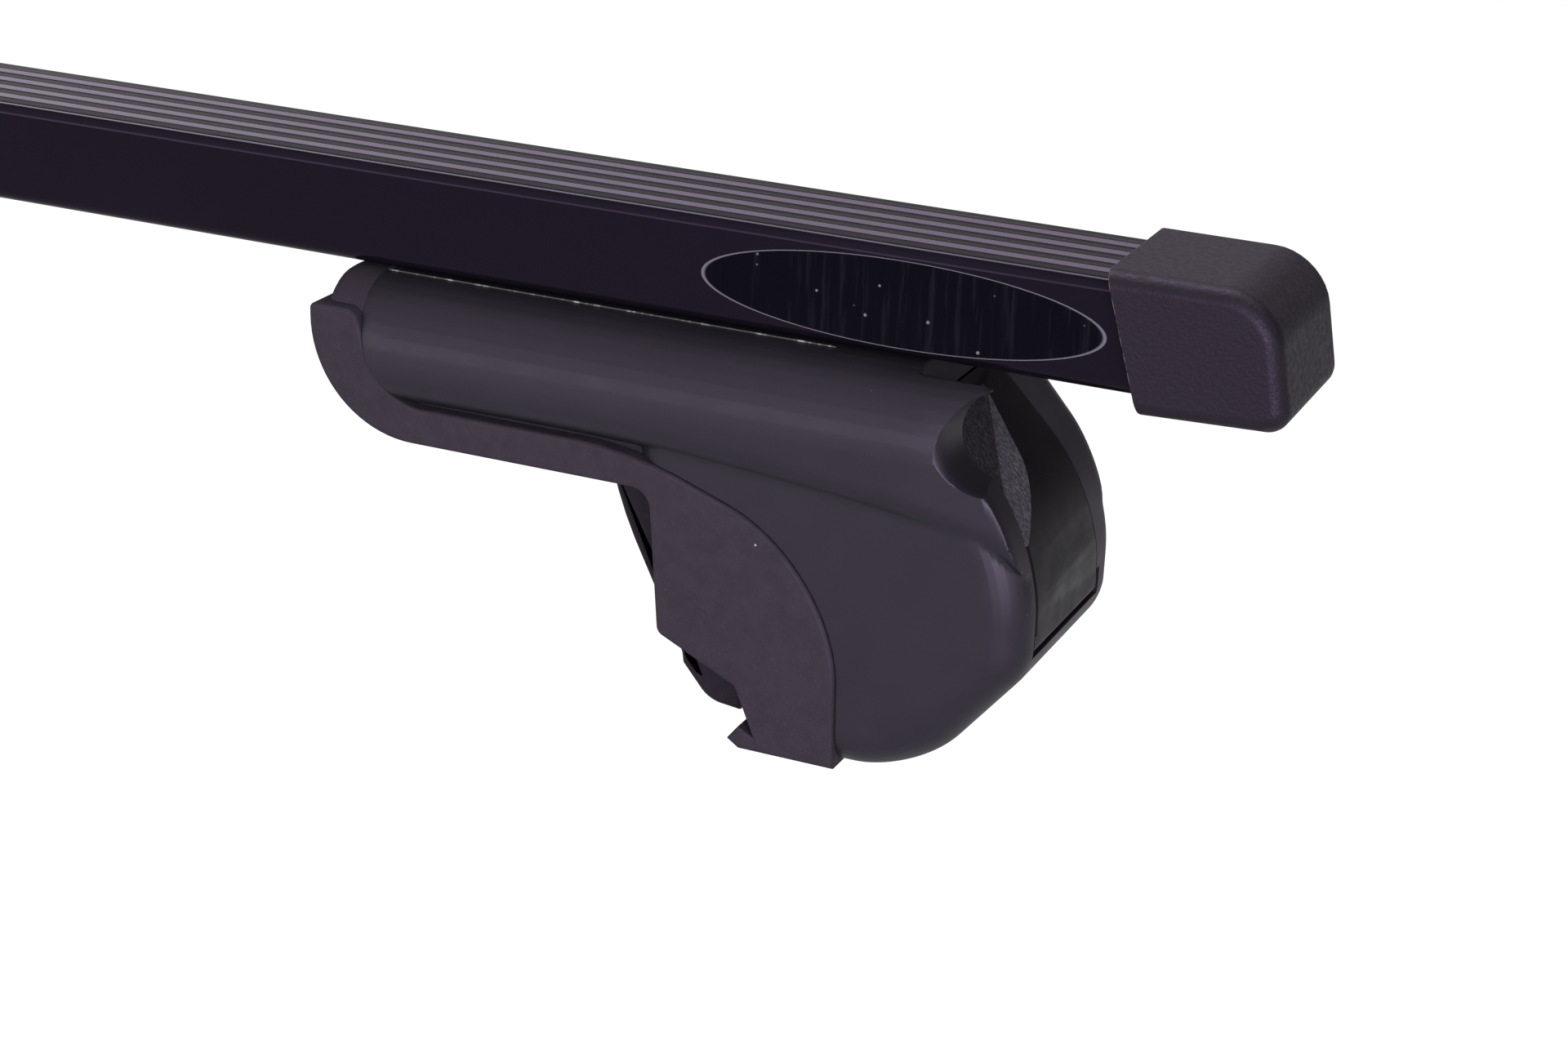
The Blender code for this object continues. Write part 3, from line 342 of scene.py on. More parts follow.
class Finish:
    """A material under construction: its shader, and short ways to add the nodes round it."""

    def __init__(self, name, colour, roughness, specular=0.5, metallic=0.0, sheen=(0.82, 0.64, 1.0)):
        self.material = bpy.data.materials.new(name)
        self.material.use_nodes = True
        self.nodes = self.material.node_tree.nodes
        self.links = self.material.node_tree.links
        self.shader = self.nodes["Principled BSDF"]
        self.colour = (*colour, 1.0)
        self.shader.inputs["Base Color"].default_value = (*colour, 1.0)
        self.shader.inputs["Roughness"].default_value = roughness
        self.shader.inputs["Specular IOR Level"].default_value = specular
        self.shader.inputs["Metallic"].default_value = metallic
        if not metallic:
            self.shader.inputs["Specular Tint"].default_value = (*sheen, 1.0)
        self.material.diffuse_color = (*colour, 1.0)
        self.bump_out = None

    def put(self, node, socket, value):
        if isinstance(value, bpy.types.NodeSocket):
            self.links.new(value, node.inputs[socket])
        else:
            node.inputs[socket].default_value = value

    def place(self, scale=(1, 1, 1), turn=(0, 0, 0), shift=(0, 0, 0), attribute=None):
        """Object coordinates, or a stored place, stretched and turned."""
        if attribute:
            source = self.nodes.new("ShaderNodeAttribute")
            source.attribute_name = attribute
            out = source.outputs["Vector"]
        else:
            out = self.nodes.new("ShaderNodeTexCoord").outputs["Object"]
        mapping = self.nodes.new("ShaderNodeMapping")
        mapping.inputs["Scale"].default_value = scale
        mapping.inputs["Rotation"].default_value = turn
        mapping.inputs["Location"].default_value = shift
        self.links.new(out, mapping.inputs["Vector"])
        return mapping.outputs[0]

    def noise(self, scale, detail=2.0, rough=0.5, vector=None):
        node = self.nodes.new("ShaderNodeTexNoise")
        self.links.new(vector or self.place(), node.inputs["Vector"])
        for socket, value in (("Scale", scale), ("Detail", detail), ("Roughness", rough)):
            node.inputs[socket].default_value = value
        return node.outputs["Fac"]

    def ranged(self, value, low, high, to_low, to_high):
        node = self.nodes.new("ShaderNodeMapRange")
        node.interpolation_type = "SMOOTHSTEP"
        for socket, item in (("Value", value), ("From Min", low), ("From Max", high),
                             ("To Min", to_low), ("To Max", to_high)):
            self.put(node, socket, item)
        return node.outputs[0]

    def math(self, operation, first, second):
        node = self.nodes.new("ShaderNodeMath")
        node.operation = operation
        self.put(node, 0, first)
        self.put(node, 1, second)
        return node.outputs[0]

    def mix(self, share, first, second):
        node = self.nodes.new("ShaderNodeMix")
        node.data_type = "RGBA"
        for socket, item in ((0, share), (6, first), (7, second)):
            self.put(node, socket, item)
        return node.outputs[2]

    def attribute(self, name):
        node = self.nodes.new("ShaderNodeAttribute")
        node.attribute_name = name
        return node.outputs["Fac"]

    def specks(self, scale, size, share, vector=None):
        """Scattered dots: the middles of a few of the cells of a cell pattern."""
        cells = self.nodes.new("ShaderNodeTexVoronoi")
        self.links.new(vector or self.place(), cells.inputs["Vector"])
        cells.inputs["Scale"].default_value = scale
        cells.inputs["Randomness"].default_value = 1.0
        near = self.ranged(cells.outputs["Distance"], size * 0.6, size, 1.0, 0.0)
        pick = self.nodes.new("ShaderNodeSeparateColor")
        self.links.new(cells.outputs["Color"], pick.inputs[0])
        chosen = self.math("GREATER_THAN", pick.outputs[0], 1.0 - share)
        return self.math("MULTIPLY", near, chosen)

    def tint(self, share, colour):
        """Lays a colour over what is there, by a share from 0 to 1."""
        self.colour = self.mix(share, self.colour, (*colour, 1.0))
        self.links.new(self.colour, self.shader.inputs["Base Color"])

    def wear(self, scale, low, high, share, colour):
        """Lays a colour over the marked edges, in patches."""
        patches = self.ranged(self.noise(scale, 4, 0.7), low, high, 0, 1)
        worn = self.math("MULTIPLY", self.attribute("worn"), patches)
        self.tint(self.math("MULTIPLY", worn, share), colour)

    def roughen(self, value):
        self.links.new(value, self.shader.inputs["Roughness"])

    def bump(self, value, strength, distance):
        node = self.nodes.new("ShaderNodeBump")
        node.inputs["Strength"].default_value = strength
        node.inputs["Distance"].default_value = distance
        self.links.new(value, node.inputs["Height"])
        if self.bump_out:
            self.links.new(self.bump_out, node.inputs["Normal"])
        self.bump_out = node.outputs[0]
        self.links.new(self.bump_out, self.shader.inputs["Normal"])


def shell_plastic():
    look = bpy.context.scene.roof_bar_finishes
    made = Finish("shell_plastic", look.shell_colour, 0.42, 0.5, sheen=(0.85, 0.72, 1.0))
    made.tint(made.ranged(made.noise(38, 3), 0.35, 0.75, 0.0, 0.5), (0.0095, 0.008, 0.0110))
    made.roughen(made.ranged(made.noise(120, 4), 0.3, 0.7, 0.40, 0.47))
    made.bump(made.noise(3600, 2, 0.6), 0.35, 0.00003)
    made.tint(made.specks(95, 0.035, 0.05), (0.35, 0.32, 0.36))
    return made.material


def boot_rubber():
    look = bpy.context.scene.roof_bar_finishes
    made = Finish("boot_rubber", look.boot_colour, 0.7, 0.45)
    made.tint(made.ranged(made.noise(40, 3, 0.5), 0.3, 0.75, 0.0, 0.3), (0.019, 0.0155, 0.019))
    made.tint(made.ranged(made.noise(1500, 3, 0.7), 0.55, 0.75, 0.0, 0.35), (0.05, 0.043, 0.05))
    made.roughen(made.ranged(made.noise(300, 4), 0.3, 0.7, 0.62, 0.8))
    made.bump(made.noise(1900, 4, 0.7), 0.6, 0.00007)
    made.wear(260, 0.5, 0.72, 0.35, (0.22, 0.19, 0.20))
    made.tint(made.specks(150, 0.05, 0.05), (0.42, 0.36, 0.36))
    return made.material


def jaw_rubber():
    made = Finish("jaw_rubber", (0.011, 0.009, 0.012), 0.6, 0.25)
    made.tint(made.ranged(made.noise(80, 4), 0.4, 0.7, 0.0, 0.5), (0.012, 0.010, 0.013))
    made.roughen(made.ranged(made.noise(500, 3), 0.3, 0.7, 0.52, 0.7))
    made.bump(made.noise(1700, 3, 0.6), 0.5, 0.00005)
    return made.material


def cap_plastic():
    look = bpy.context.scene.roof_bar_finishes
    made = Finish("cap_plastic", look.cap_colour, 0.5, 0.3)
    made.tint(made.ranged(made.noise(60, 4), 0.35, 0.7, 0.0, 0.4), (0.009, 0.0075, 0.0100))
    made.roughen(made.ranged(made.noise(900, 3), 0.3, 0.7, 0.42, 0.56))
    made.bump(made.noise(1500, 3, 0.62), 1.0, 0.00014)
    made.wear(420, 0.42, 0.6, 0.8, (0.26, 0.16, 0.16))
    made.tint(made.specks(260, 0.06, 0.05), (0.30, 0.28, 0.30))
    return made.material


def bar_coating():
    look = bpy.context.scene.roof_bar_finishes
    made = Finish("bar_coating", look.bar_colour, 0.11, 0.2, sheen=(0.80, 0.56, 1.0))
    made.roughen(made.ranged(made.noise(45, 4), 0.3, 0.75, 0.08, 0.15))
    made.bump(made.noise(420, 2, 0.4), 0.12, 0.00002)
    made.tint(made.specks(120, 0.035, 0.05), (0.40, 0.38, 0.42))
    made.tint(made.ranged(made.noise(9, 5, 0.7), 0.5, 0.8, 0.0, 0.4), (0.009, 0.007, 0.012))
    return made.material


def cover_plastic():
    look = bpy.context.scene.roof_bar_finishes
    made = Finish("cover_plastic", look.cover_colour, 0.34, 0.12)
    made.roughen(made.ranged(made.noise(160, 4), 0.3, 0.7, 0.30, 0.40))
    made.bump(made.noise(2600, 2, 0.5), 0.25, 0.00003)
    along = made.place(scale=(0.9, 2.4, 0.25), turn=(0, 0.5, 0.6), attribute="foot_place")
    scratches = made.ranged(made.noise(1.6, 5, 0.8, along), 0.46, 0.62, 0.0, 1.0)
    # The strip between the grip and the main face is really scratched, and is also painted lighter all
    # over as a painted highlight of the corner it stands for; the grip facet gets a fainter share of that
    # painted highlight
    grip = made.attribute("grip")
    made.tint(made.math("MULTIPLY", made.math("MULTIPLY", grip, scratches), 0.75), (0.16, 0.155, 0.175))
    made.tint(made.math("MULTIPLY", grip, 0.35), (0.10, 0.095, 0.115))
    made.tint(made.specks(110, 0.05, 0.04), (0.55, 0.52, 0.55))
    return made.material


def film_finish():
    made = Finish("clear_film", (0.002, 0.002, 0.004), 0.1, 0.08)
    streaks = made.ranged(made.noise(900, 3, 0.6, made.place(scale=(1, 1, 0.06))), 0.5, 0.75, 0.0, 0.35)
    made.tint(streaks, (0.018, 0.017, 0.024))
    made.tint(made.specks(420, 0.16, 0.10), (0.16, 0.15, 0.18))
    oval = made.nodes.new("ShaderNodeVectorMath")
    oval.operation = "LENGTH"
    (x, z), (half_x, half_z) = FILM_MIDDLE, FILM_HALF
    made.links.new(made.place(scale=(1 / MM / half_x, 0, 1 / MM / half_z),
                              shift=(-x / half_x, 0, -z / half_z)), oval.inputs[0])
    made.tint(made.ranged(oval.outputs["Value"], 0.976, 0.990, 0.0, 0.8), (0.17, 0.16, 0.19))
    made.roughen(made.ranged(made.noise(200, 4), 0.3, 0.7, 0.08, 0.2))
    made.bump(made.noise(700, 4, 0.7), 0.25, 0.00003)
    return made.material


# Painted highlight: a light grey line, in dashes along it, that stands for the light seen in the thin gap
# between the top of each arm and the bar
def painted_highlight_line():
    made = Finish("painted_highlight_line", (0.05, 0.055, 0.05), 0.6, 0.4)
    along = made.noise(260, 3, 0.7, made.place(scale=(1, 0, 0)))
    made.tint(made.ranged(along, 0.5, 0.62, 0.0, 1.0), (0.35, 0.37, 0.33))
    made.roughen(made.ranged(made.noise(300, 3), 0.3, 0.7, 0.5, 0.7))
    made.bump(made.noise(900, 3), 0.3, 0.00003)
    return made.material


def zinc_steel():
    made = Finish("zinc_steel", (0.50, 0.50, 0.49), 0.4, 0.5, 1.0)
    made.tint(made.ranged(made.noise(170, 5, 0.6), 0.4, 0.7, 0.0, 0.7), (0.36, 0.36, 0.37))
    made.tint(made.ranged(made.noise(60, 4), 0.55, 0.75, 0.0, 0.4), (0.46, 0.42, 0.34))
    made.roughen(made.ranged(made.noise(500, 4), 0.3, 0.7, 0.32, 0.5))
    made.bump(made.noise(1500, 3), 0.3, 0.00003)
    return made.material


def spring_steel():
    made = Finish("spring_steel", (0.42, 0.42, 0.43), 0.3, 0.5, 1.0)
    grain = made.noise(900, 3, 0.6, made.place(scale=(1, 0.05, 1)))
    made.tint(made.ranged(grain, 0.4, 0.7, 0.0, 0.6), (0.30, 0.30, 0.31))
    made.roughen(made.ranged(grain, 0.3, 0.7, 0.24, 0.42))
    made.bump(grain, 0.2, 0.00002)
    return made.material


FINISHES = {"shell_plastic": shell_plastic, "boot_rubber": boot_rubber, "jaw_rubber": jaw_rubber,
            "cap_plastic": cap_plastic, "bar_coating": bar_coating, "cover_plastic": cover_plastic,
            "clear_film": film_finish, "painted_highlight_line": painted_highlight_line,
            "zinc_steel": zinc_steel, "spring_steel": spring_steel}


def finish(name):
    """A finish by name, made the first time that a piece asks for it."""
    found = bpy.data.materials.get(name)
    if found and found.get("dressed"):
        return found
    made = FINISHES[name]()
    made["dressed"] = True
    return made


# The foot's mouldings

def arm_depth(x):
    """How deep the arm is below the bar at a place along it, on a smooth line."""
    for (x0, d0), (x1, d1) in zip(ARM_DEPTHS, ARM_DEPTHS[1:]):
        if x <= x1:
            break
    index = ARM_DEPTHS.index((x0, d0))
    slopes = []
    for place in (index, index + 1):
        before = ARM_DEPTHS[max(place - 1, 0)]
        after = ARM_DEPTHS[min(place + 1, len(ARM_DEPTHS) - 1)]
        slopes.append((after[1] - before[1]) / (after[0] - before[0]))
    span = x1 - x0
    t = min(max((x - x0) / span, 0.0), 1.0)
    return ((2 * t ** 3 - 3 * t ** 2 + 1) * d0 + (t ** 3 - 2 * t ** 2 + t) * span * slopes[0]
            + (3 * t ** 2 - 2 * t ** 3) * d1 + (t ** 3 - t ** 2) * span * slopes[1])


def swell(x):
    """How wide the arm is at a place along it, as a share: it draws in to the leg at its end."""
    t = min(max((x - 6.0) / 20.0, 0.0), 1.0)
    return 1.0 - (2.0 / 27.0) * (3 * t * t - 2 * t ** 3)


def arm():
    low = FOOT_TOP - ARM_DEPTHS[0][1]
    shape = prism("X", [(-27, low, 6), (27, low, 6), (27, FOOT_TOP, 12.4), (-27, FOOT_TOP, 12.4)],
                  -SHELL_START, 42, 9)
    for x in [place / 2 for place in range(-210, -192)] + list(range(-96, 42, 2)):
        bmesh.ops.bisect_plane(shape, geom=shape.verts[:] + shape.edges[:] + shape.faces[:],
                               plane_co=(x, 0, 0), plane_no=(1, 0, 0))
    for vert in shape.verts:
        x, y, z = vert.co
        if z > 65:
            z = FOOT_TOP - (FOOT_TOP - z) * 14.5 / 12.4
        elif z < 62:
            z -= arm_depth(x) - ARM_DEPTHS[0][1]
        drawn_in = min(max((-96.5 - x) / 8.8, 0.0), 1.0) ** 2 * 1.6 / 27
        vert.co = (x, y * (swell(x) - drawn_in), z)
    return shape


def foot_form():
    """The outer form of the hard moulding: arm, leg, rounded end and horn, softened together."""
    far = [(-200, FOOT_TOP, 0), (-200, 0, 0)]
    plate = prism("Y", END_OUTLINE + far, -27, 27, 32)
    bevel(plate, rims(plate, "Y", high=False), 3.2, 5)
    bevel(plate, rims(plate, "Y", low=False), 5.0, 6)
    horn = prism("Y", [(4.7, 66, 0), (13, 66, 0), (20.5, FOOT_TOP, 0), (4.7, FOOT_TOP, 0)], -27, -18)
    upper = keep(arm(), join(plate, horn))
    leg = prism("Y", END_OUTLINE[:3] + [(14.7, 66, 0), (-48, 66, 0), (-48, 0, 0)], -25, 25, 32)
    bevel(leg, rims(leg, "Y", high=False), 7, 7)
    bevel(leg, rims(leg, "Y", low=False), 4.2, 6)
    return soften(join(upper, leg), 0.46, 3)


def notch():
    """The finger notch: a bore that opens out like a trumpet towards the side of the arm."""
    profile = [(8.2, -16.0), (8.3, -18.0), (8.5, -20.0), (8.8, -22.0), (9.1, -23.6), (9.5, -24.9),
               (10.1, -25.9), (11.1, -26.7), (12.7, -27.3), (15.4, -27.9)]
    return turned("Y", profile, (22.2, 67.8), 128)


def cover_space():
    """The room behind and beside the cover, with the seat of its hinge."""
    wide = 18.0
    face = prism("Y", [(60, HINGE[1], 0), (60, 100, 0), (1.9, 100, 0), (1.9, 74.9, 0),
                       (26.2, 47.3, 34), (26.2, HINGE[1], 0)], -wide, wide, 32)
    trim(face, FAR_EDGE[0] + Vector((0, 0.35, 0)), FAR_EDGE[1])
    leaf = keep(face, rod("Y", 46.8, -40, 40, HINGE, 128))
    barrel = rod("Y", 3.5, -wide, wide, HINGE, 48)
    lip = block(HINGE[0], 60, -wide, wide, HINGE[1] - 3.3, HINGE[1] + 0.5)
    return join(leaf, barrel, lip)


def boot_space():
    """What the boot takes from the shell, with a fine seam along the split line."""
    seam = 0.25
    line = [(-4.6 + seam, -40, 0), (-4.6 + seam, 0, 0), (-5.6 + seam, 39.8 + seam, 34),
            (-48, 54.8 + seam, 60), (-101.1 + seam, 54.8 + seam, 12), (-105.3 + seam, 72, 0),
            (-105.3 + seam, 120, 0), (-200, 120, 0), (-200, -40, 0)]
    return prism("Y", line, -60, 60, 16)


def shell_core(half, wall):
    """The part of the shell inside the boot."""
    line = [(-20.9 + wall, wall), (3.4, wall), (2.4, 39.8), (-5.6, 62.8), (-99.3, 62.8),
            (-99.3, 47.6 + wall), (-43.6 + wall, 47.6 + wall), (-41.2 + wall, 19.9 + wall),
            (-25 + wall, 12.4 + wall)]
    return prism("Y", [(a, b, 0) for a, b in line], -half, half)


def steel_room():
    """The arm's hollow and the slots of the bracket and of the nut."""
    section = [(-10.8, 98), (-10.8, 72), (-19, 67), (-20, 59.5), (-17, 54.5), (17, 54.5),
               (20, 59.5), (19, 67), (10.8, 72), (10.8, 98)]
    hollow = prism("X", [(a, b, 0) for a, b in section], -100, -13.5)
    flange = block(-100, -7.45, -10.8, 10.8, 71, 98)
    web = block(-10.55, -7.45, -10.8, 10.8, 30.7, 98)
    nut = block(-7.75, -1.65, -6.8, 6.8, 33.2, 98)
    return [hollow, flange, web, nut]


def screw_room():
    """The bay of the screw's head behind the cover, and the hole of its shank."""
    bay = prism("X", [(-9, 31, 1.5), (9, 31, 1.5), (9, 49, 1.5), (-9, 49, 1.5)], 3.5, 60, 4)
    hole = rod("X", 4.4, -20, 4.5, (0, SCREW_Z))
    pin = rod("Y", 1.4, -20.3, 20.3, HINGE, 24)
    return [bay, hole, pin]


class ROOFBAR_OT_shells(bpy.types.Operator):
    """Builds the hard moulding of each foot"""
    bl_idname = "roofbar.shells"
    bl_label = "Foot shells"

    def execute(self, context):
        outer = cut(foot_form(), boot_space(), solver="MANIFOLD")
        shell = join(outer, shell_core(22.5, 3.1), solver="MANIFOLD")
        way = block(-64, -17.8, -16.3, 16.3, 6.0, 47.6)
        below = block(-64, -24.6, -16.3, 16.3, -20, 6.1)
        access = [rod("Z", 6.0, 47.6, 55.5, (-x, 0), 32) for x in (80, 30)]
        shell = cut(shell, notch(), cover_space(), way, below, *steel_room(), *screw_room(), *access,
                    solver="MANIFOLD")
        shade(shell, 40)
        settle_pair(shell, "shell", "bar_and_feet", finish("shell_plastic"), "foot_shell")
        return {"FINISHED"}


class ROOFBAR_OT_boots(bpy.types.Operator):
    """Builds the rubber boot of each foot"""
    bl_idname = "roofbar.boots"
    bl_label = "Rail boots"

    def execute(self, context):
        outer = prism("Y", BOOT_OUTLINE, -25.6, 25.6, 20)
        bevel(outer, rims(outer, "Y"), 0.8, 3)
        plug = prism("X", [(-24, 60, 0), (24, 60, 0), (24, FOOT_TOP - 0.4, 11), (-24, FOOT_TOP - 0.4, 11)],
                     -114, -105.1, 9)
        bevel(plug, rims(plug, "X", high=False), 2.8, 4)
        hollow = shell_core(22.8, 2.8)
        channel = block(-68.2, -16.1, -16.3, 16.3, 6.0, 48.2)
        boot = ease_sharp(cut(join(outer, plug), hollow, channel), 0.3, 2)
        shade(boot, 40)
        settle_pair(boot, "boot", "bar_and_feet", finish("boot_rubber"), "rail_boot")
        return {"FINISHED"}


class ROOFBAR_OT_covers(bpy.types.Operator):
    """Builds the hinged cover of each foot's outer end, with its grip for a fingertip"""
    bl_idname = "roofbar.covers"
    bl_label = "End covers"

    def execute(self, context):
        face = prism("Y", [(30, HINGE[1], 0), (30, 48.7, 38), (4.7, 77.5, 0), (2.07, 75.2, 0),
                           (26.5, 47.4, 34.5), (26.5, HINGE[1], 0)], -COVER_HALF, COVER_HALF, 32)
        bevel(face, rims(face, "Y", high=False), 1.2, 4)
        trim(face, *FAR_EDGE)
        wedge = block(11, 70, -50, 20, 47.5, 110)
        trim(wedge, STRIP[0], -STRIP[1])
        trim(wedge, GRIP[0], -GRIP[1])
        leaf = cut(keep(face, rod("Y", 46.4, -40, 40, HINGE, 128)), wedge)
        barrel = rod("Y", 2.7, -COVER_HALF, COVER_FOOT_END, HINGE, 48)
        foot = prism("Y", [(27.3, 27.3, 0), (30, 27.3, 1.6), (30, 31, 0), (27.3, 31, 0)],
                     -COVER_HALF, COVER_FOOT_END, 12)
        pin = rod("Y", 1.4, -20, 20, HINGE, 24)
        cover = cut(join(leaf, barrel, foot), pin)
        cover = ease_sharp(cover, 0.35, 2)
        # Marks the strip (1) and the grip facet (0.3), which cover_plastic scratches and also paints
        # lighter as a painted highlight
        grip = cover.data.attributes.new("grip", "FLOAT", "FACE")
        values = []
        for polygon in cover.data.polygons:
            lit = 1.0 if polygon.normal.dot(STRIP[1].normalized()) > 0.998 else 0.0
            values.append(0.3 if polygon.normal.dot(GRIP[1].normalized()) > 0.998 else lit)
        grip.data.foreach_set("value", values)
        shade(cover, 14)
        settle_pair(cover, "cover", "cover", finish("cover_plastic"), "end_cover")
        return {"FINISHED"}


class ROOFBAR_OT_jaws(bpy.types.Operator):
    """Builds the rubber-faced clamp jaw of each foot"""
    bl_idname = "roofbar.jaws"
    bl_label = "Clamp jaws"

    def execute(self, context):
        outline = [(-56.2, 47.2, 1.3), (-53.2, 37.6, 60), (-40.5, 12.3, 1.5), (-40.2, 10.2, 1),
                   (-34.6, 3.6, 6), (-28, 2.9, 0), (-26.6, 6.4, 0), (-20, 6.4, 0), (-20, 47.2, 0)]
        body = prism("Y", outline, -16, 16, 10)
        bevel(body, rims(body, "Y"), 1.2, 3)
        bore = rod("X", 4.4, -41.5, 0, (0, SCREW_Z))
        slot = block(-31.25, -29.15, -6.8, 6.8, 33.2, 60)
        jaw = ease_sharp(cut(body, bore, slot), 0.3, 2)
        shade(jaw, 40)
        settle_pair(jaw, "jaw", "jaw", finish("jaw_rubber"), "clamp_jaw")
        return {"FINISHED"}


class ROOFBAR_OT_screws(bpy.types.Operator):
    """Builds the threaded clamp screw of each foot"""
    bl_idname = "roofbar.screws"
    bl_label = "Clamp screws"

    def execute(self, context):
        size = context.scene.roof_bar_sizes
        pitch = size.screw_pitch * 1000
        profile = [(0.001, 21), (5.9, 21), (6.3, 20.8), (6.5, 20.4), (6.5, 14.4), (6.2, 14),
                   (3.2, 13.2), (3.2, -28.9), (3.0, -29.1), (3.0, -31.3), (3.3, -31.5), (3.3, -39.0),
                   (2.8, -40), (0.001, -40)]
        head = turned("X", profile, (0, SCREW_Z), 48)
        socket = rod("X", 2.9, 17, 22, (0, SCREW_Z), 6)
        screw = cut(head, socket)
        thread = self.thread(pitch, -27.5, 12.5)
        screw = join(screw, thread)
        shade(screw, 35)
        settle_pair(screw, "screw", "screw", finish("zinc_steel"), "clamp_screw")
        return {"FINISHED"}

    def thread(self, pitch, low, high):
        """A ridge wound round the shank by spinning its section with a rise."""
        turns = int((high - low) / pitch)
        shape = bmesh.new()
        section = [(3.0, -0.5), (3.95, -0.07), (3.95, 0.07), (3.0, 0.5)]
        verts = [shape.verts.new((low + along * pitch, 0, SCREW_Z + radius)) for radius, along in section]
        face = shape.faces.new(verts)
        per_turn = 28
        bmesh.ops.spin(shape, geom=[face], cent=(0, 0, SCREW_Z), axis=(-1, 0, 0),
                       dvec=(pitch / per_turn, 0, 0), angle=2 * math.pi * turns, steps=per_turn * turns)
        bmesh.ops.recalc_face_normals(shape, faces=shape.faces[:])
        return shape


# The bar and its ends

class ROOFBAR_OT_bar(bpy.types.Operator):
    """Builds the coated steel tube with the ribs along its top"""
    bl_idname = "roofbar.bar"
    bl_label = "Roof bar"

    def execute(self, context):
        size = context.scene.roof_bar_sizes
        half, wide, high = 15.0, size.rib_width * 500, size.rib_height * 1000
        ribs = []
        for index in reversed(range(size.rib_count)):
            centre = (index - (size.rib_count - 1) / 2) * size.rib_pitch * 1000
            ribs += [(centre + wide, BAR_TOP, 0.5), (centre + wide * 0.36, BAR_TOP + high, 0.6),
                     (centre - wide * 0.36, BAR_TOP + high, 0.6), (centre - wide, BAR_TOP, 0.5)]
        corner = size.bar_corner * 1000
        section = [(-half, BAR_LOW, corner), (half, BAR_LOW, corner), (half, BAR_TOP, corner)] + ribs + [
            (-half, BAR_TOP, corner)]
        tube = prism("X", section, -BAR_END, BAR_END, 8)
        room = prism("X", [(-13.5, BAR_LOW + 1.5, 1), (13.5, BAR_LOW + 1.5, 1), (13.5, BAR_TOP - 1.5, 1),
                           (-13.5, BAR_TOP - 1.5, 1)], -BAR_END - 5, BAR_END + 5, 4)
        holes = [rod("Z", 3.5, BAR_LOW - 1, BAR_LOW + 2, (side * (FOOT_X - x), 0), 32)
                 for side in (1, -1) for x in (80, 30)]
        bar = cut(tube, room, *holes)
        shade(bar, 35)
        settle(bar, "bar", "bar_and_feet", finish("bar_coating"), ["roof_bar"], foot=False)
        drop(bar)
        return {"FINISHED"}


class ROOFBAR_OT_caps(bpy.types.Operator):
    """Builds the moulded end caps of the bar"""
    bl_idname = "roofbar.caps"
    bl_label = "End caps"

    def execute(self, context):
        edge = context.scene.roof_bar_sizes.cap_edge * 1000
        low, top, nose, mouth = BAR_LOW - 4.0, BAR_TOP + 2.2, BAR_END + 12.4, BAR_END - 22.0
        cap = prism("Y", [(mouth - 22, low, 0), (nose, low + 2, 4), (nose - 4.5, top, 11),
                          (mouth - 22, top, 0)], -17.2, 17.2, 10)
        bevel(cap, rims(cap, "Y"), edge, 5)
        lean = Vector((-(top - low), 0, -7.8)).normalized()
        trim(cap, (mouth, 0, top), lean)
        pocket = block(mouth - 20, BAR_END + 0.3, -15.3, 15.3, BAR_LOW - 0.3, BAR_TOP + 0.8)
        cap = cut(cap, pocket)
        cap = ease_sharp(cap, 0.35, 2, math.radians(40))
        shade(cap, 35)
        for side, turn in SIDES:
            copy = cap.copy()
            copy.data = cap.data.copy()
            copy.data.transform(Matrix.Rotation(turn, 4, "Z"))
            bpy.context.scene.collection.objects.link(copy)
            settle(copy, "cap_" + side, "bar_and_feet", finish("cap_plastic"),
                   ["end_cap_" + side], foot=False)
            drop(copy)
        drop(cap)
        return {"FINISHED"}


class ROOFBAR_OT_film(bpy.types.Operator):
    """Builds the clear oval film on the bar's front, left bare, and a painted highlight line in the gap
    over each arm
    """
    bl_idname = "roofbar.film"
    bl_label = "Clear film"

    def execute(self, context):
        shape = bmesh.new()
        bmesh.ops.create_circle(shape, cap_ends=True, segments=112, radius=1.0)
        x, z = FILM_MIDDLE
        upright = Matrix.Rotation(math.pi / 2, 4, "X") @ Matrix.Diagonal((*FILM_HALF, 1, 1))
        bmesh.ops.transform(shape, matrix=Matrix.Translation((x, -15.03, z)) @ upright,
                            verts=shape.verts[:])
        made = bmesh.ops.extrude_face_region(shape, geom=shape.faces[:])
        moved = [item for item in made["geom"] if isinstance(item, bmesh.types.BMVert)]
        bmesh.ops.translate(shape, verts=moved, vec=(0, -0.07, 0))
        bmesh.ops.recalc_face_normals(shape, faces=shape.faces[:])
        film = as_object(shape, "film")
        settle(film, "film", "bar_and_feet", finish("clear_film"), [], foot=False)
        drop(film)
        # A thin light strip in the gap between each arm's top and the bar, coloured as a painted highlight
        # line
        for side, turn in SIDES:
            line = as_object(block(-104, -12, -15.2, -14.9, FOOT_TOP, FOOT_TOP + 0.22), "painted_highlight")
            settle(line, "seal_" + side, "bar_and_feet", finish("painted_highlight_line"), [], turn)
            drop(line)
        return {"FINISHED"}


